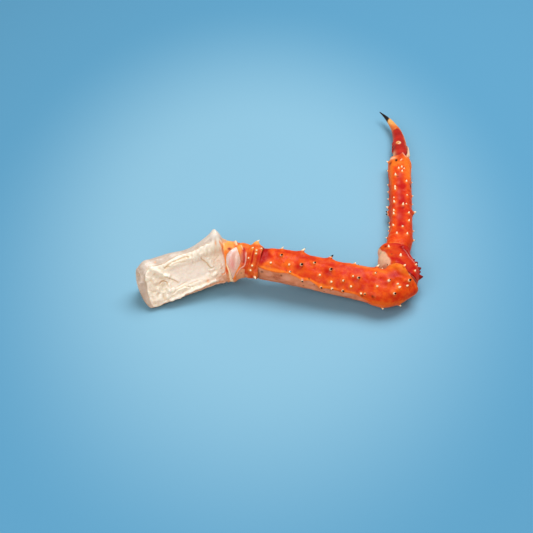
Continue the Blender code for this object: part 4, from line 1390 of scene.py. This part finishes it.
def carpus_skin():
    """The short segment after the knee: peach on its inner side, red with amber between and painted shade
    in deep red beside its top spine, a dark strip of membrane whose far part is darkened partly by painted
    shade, a painted pink highlight along the strip's rim, and brown teeth along its outer edge."""
    caps = socket(0.06, 1.0), socket(0.08, 4.0)
    skin = Skin(carpus, *caps, rows=100, columns=250, drawn_from=180, ragged=0.4)
    shell_form(skin, 0.45, 190)
    s, w, base = skin.s_ragged, skin.w_ragged, skin.points
    degrees = np.degrees(skin.angle)
    wander = 4.0 * lumps(base, 8.0, 201, 2)
    border = smooth(((0, 53), (3, 54), (8, 59), (14, 63), (18, 60), (23, 56), (30, 44), (36, 30)), s)
    inner = ease(-4, 4, border + wander - degrees) + ease(-5, 5, degrees + wander - 262)
    belly = np.clip(inner, 0, 1)
    knob = swell_under(skin, CARPUS_SPINES)
    skin.ridge(((4, 0), (15, 1), (27, 0), (34, -1)), 2.0, 0.9)
    strip = skin.ridge(((34, -16), (31, -14.6), (26, -12.4), (19.5, -13.2), (13, -13.6)), 2.2, -0.6)
    rim_path = ((31, -14.4), (26.3, -13.2), (19.5, -13.4), (12.4, -13.4), (9.4, -11.8))
    strip_rim_highlight = skin.ridge(rim_path, 0.45, 0.6)
    skin.ridge(((3, -30), (10, -29), (20, -28)), 2.0, 0.5)

    skin.mark("belly", belly)
    skin.mark("horn", 0.2 * belly)
    gold = 0.8 * hill(degrees - border, 9, 8.0)
    rims = 0.3 * ease(34, 35.4, skin.s) + 0.4 * ease(1.4, 0.3, skin.s)
    amber = highest(gold, rims, 0.35 * knob, 0.3 * skin.oval(27, -28, 6, 5))
    skin.mark("amber", np.clip(amber, 0, 1) * (1 - belly))
    # In the strip's far part, deeper red here and soot below are partly the membrane's dark colour and
    # partly painted shade.
    red = 0.5 + 0.7 * strip * ease(14, 22, s) + 0.45 * ease(-0.2, 0.6, lumps(base, 12.0, 211, 2))
    # The oval at s 12 is painted shade in deep red beside the spine at s 15.
    red += 0.55 * skin.oval(12, -26.5, 5, 3.2) + 0.35 * ease(-22, -12, w) * ease(14, 6, w)
    skin.mark("crimson", np.clip(red, 0, 1) * (1 - 0.7 * knob) * (1 - 0.8 * belly))
    # Painted highlight: a pink line along the strip's rim.
    skin.mark("pink_and_sheen", 0.55 * strip_rim_highlight)
    soot = 0.45 * strip * ease(19, 26, s)
    specks = ((35.3, 32, 1.3), (23.8, 52, 0.8), (30, 36, 1.0), (19.5, 72, 0.7), (33, 58, 1.0))
    for at_s, at_degrees, size in specks:
        soot = np.maximum(soot, skin.ball(base[skin.spot(at_s, at_degrees)], size))
    skin.mark("soot", 0.8 * soot)
    skin.shape(0.6, 1.8)
    return skin


carpus_mesh = carpus_skin()
piece = Piece(SHELL_MARKS, carpus_mesh)
add_spines(piece, carpus_mesh, CARPUS_SPINES)
add_spines(piece, carpus_mesh, CARPUS_TEETH, lean=0.4, width=1.6, horned=False)
piece.finish("carpus_shell_fine", RED_SHELL, "carpus_shell")

wrist = after(
    carpus,
    WRIST_SKIN_LENGTH,
    PROPODUS_RADIUS,
    ((0, 0.88), (0.5, 0.92), (1, 0.88)),
    ((100, 0.92), (270, 0.92)),
)
wrist.sway = ((0, 3.4), (1, 1.8))
make_piece(joint_skin(wrist, 3.2, 0.8), ("edge",), "wrist_skin_fine", JOINT_SKIN, "wrist_skin", "skin")


# ---- Propodus ----

propodus = after(
    wrist,
    PROPODUS_LENGTH,
    PROPODUS_RADIUS,
    ((0, 0.95), (0.08, 1.05), (0.2, 0.98), (0.5, 0.94), (0.85, 1.0), (0.96, 1.0), (1, 0.9)),
    ((90, 0.88), (270, 0.88), (0, 0.96), (180, 0.96)),
)
propodus.sway = ((0, 1.8), (0.15, 0.0), (0.45, 0.3), (0.75, 1.2), (1, 1.2))
PROPODUS_SPINES = (
    (128.4, 20, 2.4, 0.0), (117, 8, 1.6, 0.6), (110.1, 80, 1.8, 0.0), (112.4, 97, 1.7, 0.0),
    (110.4, 109, 1.0, 0.0), (106, 98, 1.7, 0.0), (99.6, 65, 2.4, 0.0), (90.8, 118, 1.7, 0.0),
    (82, 59, 2.0, 0.0), (78.9, 59, 2.0, 0.0), (71, 119, 0.8, 0.0), (67.6, 53, 0.9, 0.0),
    (60.2, 54, 2.2, 0.0), (56.0, 98, 2.4, 0.0), (58.4, 116, 0.8, 0.0), (47.6, 51, 1.8, 0.0),
    (43.0, 51, 2.2, 0.0), (44.4, 123, 1.8, 0.0), (33.4, 123, 1.8, 0.0), (53.0, 162, 3.6, 0.0),
    (78, 162, 1.5, 0.0), (98, 357, 1.6, 0.4), (88.3, 352, 1.6, 0.0), (78, 350, 1.8, 0.0),
    (65.0, 352, 3.2, 0.0), (58.4, 350, 3.4, 1.0), (54.6, 352, 3.0, 1.0),
    # The foot of the segment is hidden, and so is its far side.
    (38, 12, 2.0, 1.0), (26, 52, 1.8, 0.0), (24, 96, 2.0, 0.6), (13, 74, 1.8, 0.0), (14, 120, 1.8, 0.0),
    (16, 172, 2.2, 0.5), (30, 176, 1.6, 0.0), (18, 4, 1.8, 0.0), (30, 356, 1.8, 0.6),
    (28, 28, 1.6, 0.0), (104, 186, 1.4, 0.0), (72, 190, 1.4, 0.0),
)
# How far the end of the segment reaches beyond its middle line's end, by the angle in degrees.
PROPODUS_RIM = (
    (0, -0.5), (40, -1.6), (62, -2.2), (78, -1.2), (92, 0.8), (106, 2.8), (114, 0.0), (126, -2.0),
    (150, -2.2), (180, -1.5), (240, 0.0), (360, -0.5),
)
# Ovals of colour: share, s, w, half length along s and w.
# In PROPODUS_RED and PROPODUS_SOOT the ovals at s 112.8 are a painted shadow beside a spine.
PROPODUS_RED = (
    (0.8, 84, -14.1, 4.5, 2.2), (0.45, 84, -19.4, 3, 1.6), (0.8, 65, -15, 5, 2.6),
    (0.9, 53.6, -14.8, 2.6, 1.7), (0.4, 59, -24, 3.5, 2), (0.8, 112.8, -14.8, 1.2, 0.9),
    (0.7, 122.5, -28.3, 2.6, 2.2),
)
# Painted pink highlights along the middle of the upper side: share, s, w, half length along s and w.
PROPODUS_PINK_SHEEN = (
    (1, 101, -17.6, 3.6, 1.6), (1, 90, -18.4, 3.2, 1.3), (1, 76, -18.2, 4, 1.7), (1, 67, -17.6, 3, 1.5),
    (0.7, 57, -20.4, 3.5, 1.6), (0.8, 40, -18.5, 5, 2.2),
)
PROPODUS_SOOT = (
    (1.4, 125.2, -21.9, 2.3, 1.15), (0.6, 122.3, -28.3, 2.2, 1.9), (0.95, 90.1, -5.6, 4.6, 1.5),
    (0.8, 98.4, -20.0, 1.3, 1.1), (0.7, 93.3, -32.3, 2.2, 1.0), (0.45, 112.8, -14.8, 1.0, 0.8),
    (0.45, 53.4, -14.6, 2.0, 1.0),
)


def propodus_skin():
    """The slender segment before the claw: a red band with painted pink highlights along the middle of its
    upper side, orange at its edges, darker red along its left side as painted shade, and amber towards the
    claw. Its end is ragged, with a flap over the claw's foot: each place moves along the segment by the
    rim's reach at its angle times an S curve of the distance."""
    caps = dome(1.0, 5), socket(0.11, 3.0)
    skin = Skin(propodus, *caps, rows=300, columns=180, drawn_from=180, ragged=0.4)
    degrees = np.degrees(skin.angle)
    left_in = 1 - (skin.s - skin.t * propodus.length) / PROPODUS_RADIUS
    reach = smooth(PROPODUS_RIM, degrees) * ease(116, 132, skin.s) * np.clip(left_in, 0, 1)
    skin.points = skin.points + reach[..., None] * frame_at(propodus.end)[1]
    skin.normals = skin.find_normals()
    shell_form(skin, 0.4, 230)
    s, angle, base = skin.s_ragged, skin.angle, skin.points
    knob = swell_under(skin, PROPODUS_SPINES)
    below = ease(212, 224, degrees + 5 * lumps(base, 8.0, 241, 2)) * ease(330, 318, degrees)
    skin.ridge(((20, -19), (60, -18.6), (100, -18)), 1.8, -0.35)
    skin.ridge(((20, -11), (60, -10.6), (100, -10.5)), 2.2, 0.3)

    def ovals(places):
        """The masks of several ovals, each times its share."""
        return [share * skin.oval(*place) for share, *place in places]

    gold = highest(
        0.72 * bump(angle, 136, 24) * ease(84, 108, s),
        0.75 * bump(angle, 34, 18) * ease(70, 96, s),
        0.6 * ease(112, 118, s) * ease(190, 170, degrees),
        0.25 * bump(angle, 30, 16),
    )
    rims = 0.3 * ease(131.5, 134, skin.s) + 0.5 * ease(2, 0.4, skin.s)
    flap = bump(angle, 88, 17) * ease(120, 126, s)
    skin.mark("belly", below)
    skin.mark("amber", highest(gold, rims, 0.5 * knob) * (1 - below) * (1 - 0.8 * flap))
    red = 0.8 * bump(angle, 86, 22) * ease(8, 20, s) * ease(112, 98, s)
    red += 0.25 * ease(-0.1, 0.7, lumps(base, 11.0, 251, 2)) * ease(110, 90, s)
    # Painted shade: darker red along the left side, away from the light.
    red += 0.75 * bump(angle, 8, 30) * ease(112, 90, s)
    red += 0.45 * bump(angle, 140, 24) * ease(90, 60, s)
    red += sum(ovals(PROPODUS_RED)) + 0.5 * flap
    skin.mark("crimson", np.clip(red, 0, 1) * (1 - 0.7 * knob) * (1 - below))
    membrane = skin.oval(134, -12.4, 3.4, 1.3) * ease(128.5, 130.5, s)
    skin.mark("pink_and_sheen", 0.13 * sum(ovals(PROPODUS_PINK_SHEEN)) * (1 - knob) + 0.9 * membrane)
    soot = np.clip(highest(*ovals(PROPODUS_SOOT)), 0, 1)
    skin.height -= 0.5 * soot
    skin.mark("soot", soot * (1 - 0.6 * knob))
    streak = skin.ridge(((122.4, -18.2), (123.4, -17.0), (124.4, -15.8)), 0.8, 0.4)
    peach = skin.oval(130.8, -25.2, 3.4, 4.2)
    skin.mark("horn", 0.3 * np.clip(peach + streak + 0.5 * membrane, 0, 1) * (1 - below))
    skin.shape(0.5, 1.8)
    return skin


propodus_names = "propodus_shell_fine", RED_SHELL, "propodus_shell", "red_shell"
make_piece(propodus_skin(), SHELL_MARKS, *propodus_names, PROPODUS_SPINES)

claw_joint = after(
    propodus,
    CLAW_SKIN_LENGTH,
    DACTYL_RADIUS,
    ((0, 0.97), (0.5, 1.0), (1, 0.94)),
    ((90, 0.95), (270, 0.95)),
)
claw_skin = joint_skin(claw_joint, 2.4, 0.6, wrinkle=0.2)
make_piece(claw_skin, ("edge",), "claw_skin_fine", JOINT_SKIN, "claw_skin", "skin")


# ---- Dactyl ----

DACTYL_SIZE = (
    (0, 0.96), (0.1, 0.94), (0.25, 0.89), (0.4, 0.78), (0.55, 0.62), (0.7, 0.44), (0.85, 0.26),
    (0.93, 0.15), (1, 0.05),
)
dactyl = after(claw_joint, DACTYL_LENGTH, DACTYL_RADIUS, DACTYL_SIZE, ((90, 0.9), (270, 0.9)))
dactyl.sway = ((0, 0), (0.25, 0.4), (0.45, 0.5), (0.7, 0.4), (1, 0))
# How far along the claw the red ends, by the angle in degrees.
DACTYL_BORDER = (
    (0, 44), (20, 45.5), (66, 46.2), (110, 46), (128, 42.5), (140, 38), (160, 34), (230, 38), (300, 42),
    (360, 44),
)


def dactyl_skin():
    """The hooked claw: a smooth curved cone with scallops along its inner edge, a pitted knob near its foot
    and a pale strip beside it. The red ends at a border whose distance depends on the angle."""
    skin = Skin(dactyl, dome(1.4, 6), dome(0.5, 4), rows=230, columns=120, drawn_from=90)
    s, w, base = skin.s, skin.w, skin.points
    degrees = np.degrees(skin.angle)
    skin.height += 0.18 * lumps(base, 12.0, 261, 2) * ease(70, 50, s)
    skin.height += 0.05 * lumps(base, 3.0, 271, 2)
    skin.cushions(((25.6, -9.8, 2.3, 3.2, 1.1), (20.4, -10.4, 2.2, 3.2, 1.3), (15.2, -11.0, 2.4, 3.2, 1.4)))
    skin.ridge(((3, 10.2), (12, 10.2), (20.6, 9.6)), 2.7, 1.7, 0.14)
    tooth = skin.lump(20.2, 9.6, 0.9, 0.9, 0.8)
    away = np.sqrt(((base - base[skin.spot(20.2, 73)]) ** 2).sum(-1))
    knob = ease(3.0, 1.9, away)
    skin.height += 0.9 * knob - 0.8 * hill(away, 0, 0.9)

    uneven = 0.7 * lumps(base, 5.0, 281, 2)
    beyond = ease(-1.1, 1.1, s + uneven - smooth(DACTYL_BORDER, degrees))
    black_from = smooth(((0, 64.6), (40, 64.8), (90, 66.2), (141, 68.4), (220, 67), (360, 64.6)), degrees)
    black = ease(-1.8, 1.4, s + 0.7 * uneven - black_from)
    line_at = smooth(((0, 128), (4.4, 138), (12, 149), (20, 155), (83, 155)), s)
    strip_end = smooth(((0, 232), (8, 226), (14, 210), (20, 184), (23, 166)), s)
    strip = ease(2, 8, degrees - line_at) * ease(12, -12, degrees - strip_end) * ease(23.5, 19, s)
    line = hill(degrees - line_at, -2, 5.0) * ease(21, 16, s)
    # Painted light: amber along the side from 122 to 215 degrees, where the light falls.
    glow = 0.9 * ease(122, 146, degrees) * ease(215, 180, degrees) * ease(6, 30, s)
    foot = ease(12, 6, s) * bump(skin.angle, 8, 26)
    skin.mark("amber", np.maximum(beyond, glow) + 0.9 * knob + foot + 0.6 * tooth)
    skin.mark("deep", 0.8 * line + 0.7 * skin.oval(15.6, -7.6, 2.4, 2.0))
    skin.mark("tan", ease(50, 58, s + 2.5 * (w - 1) / 3) + 0.4 * knob)
    shine = knob * ease(0.4, 2.2, away) * ease(-1.4, 1.0, w + 1.9)
    skin.mark("pale", 0.85 * shine + 0.85 * strip * (1 - tooth) + 0.55 * foot)
    skin.mark("soot", black + 0.3 * hill(away, 0, 0.7))
    skin.shape(0.5, 1.2)
    return skin


CLAW_MARKS = ("amber", "deep", "tan", "pale", "soot")
make_piece(dactyl_skin(), CLAW_MARKS, "dactyl_fine", claw_material(), "dactyl", "claw")


# ---- Floor, light and camera ----

FLOOR_HALF = 4.0
TARGET = (-0.0142, -0.0777, 0.0)
LOOK_DOWN = math.radians(42)
CAMERA_DISTANCE = 1.1


def floor_material():
    """Pale blue, deeper away from the middle: a painted fall-off of light. Light that it sends back to the
    food is neutral.
    """
    made, bench, shader = start_material("floor_blue")
    moved = {"Vector": bench.place(), "Location": (0.022, 0.019, 0.0), "Scale": (1.0, 0.66, 1.0)}
    middle = bench.add("ShaderNodeMapping", moved).outputs[0]
    away = bench.add("ShaderNodeVectorMath", {0: middle}, operation="LENGTH").outputs["Value"]
    # Painted shade: the blue deepens away from the middle.
    blue = bench.mix(bench.ease(away, 0.1, 0.27), paint(128, 176, 200), paint(86, 147, 182))
    seen = bench.add("ShaderNodeLightPath").outputs["Is Camera Ray"]
    color = bench.mix(seen, paint(196, 178, 164), blue)
    bench.tree.links.new(color, shader.inputs["Base Color"])
    shader.inputs["Roughness"].default_value = 0.9
    shader.inputs["Specular IOR Level"].default_value = 0.1
    return made


def softbox(name, place, size, power):
    """A square area light at a place, facing the camera's target."""
    light = bpy.data.lights.new(name, "AREA")
    light.shape = "SQUARE"
    light.size = size
    light.energy = power
    lamp = link(name, light)
    lamp.location = place
    lamp.rotation_euler = (Vector(TARGET) - Vector(place)).to_track_quat("-Z", "Y").to_euler()


floor_mesh = bpy.data.meshes.new("floor")
floor_corners = [(x * FLOOR_HALF, y * FLOOR_HALF, 0.0) for x, y in ((-1, -1), (1, -1), (1, 1), (-1, 1))]
floor_mesh.from_pydata(floor_corners, [], [(0, 1, 2, 3)])
floor_mesh.materials.append(floor_material())
floor = link("floor", floor_mesh)

softbox("key", (0.3, 0.3, 1.3), size=1.0, power=19.7)
softbox("front", (-0.5, -1.1, 0.9), size=0.9, power=9.5)

world = bpy.data.worlds.new("studio")
world.use_nodes = True
world.node_tree.nodes["Background"].inputs["Color"].default_value = (1.0, 0.97, 0.94, 1.0)
world.node_tree.nodes["Background"].inputs["Strength"].default_value = 0.28
bpy.context.scene.world = world
bpy.context.scene.view_settings.view_transform = "Standard"

camera_data = bpy.data.cameras.new("camera")
camera_data.lens = 85.0
camera_data.sensor_width = 36.0
camera = link("camera", camera_data)
back, up = CAMERA_DISTANCE * math.cos(LOOK_DOWN), CAMERA_DISTANCE * math.sin(LOOK_DOWN)
camera.location = (TARGET[0], TARGET[1] - back, up)
camera.rotation_euler = (math.pi / 2 - LOOK_DOWN, 0.0, 0.0)
bpy.context.scene.camera = camera
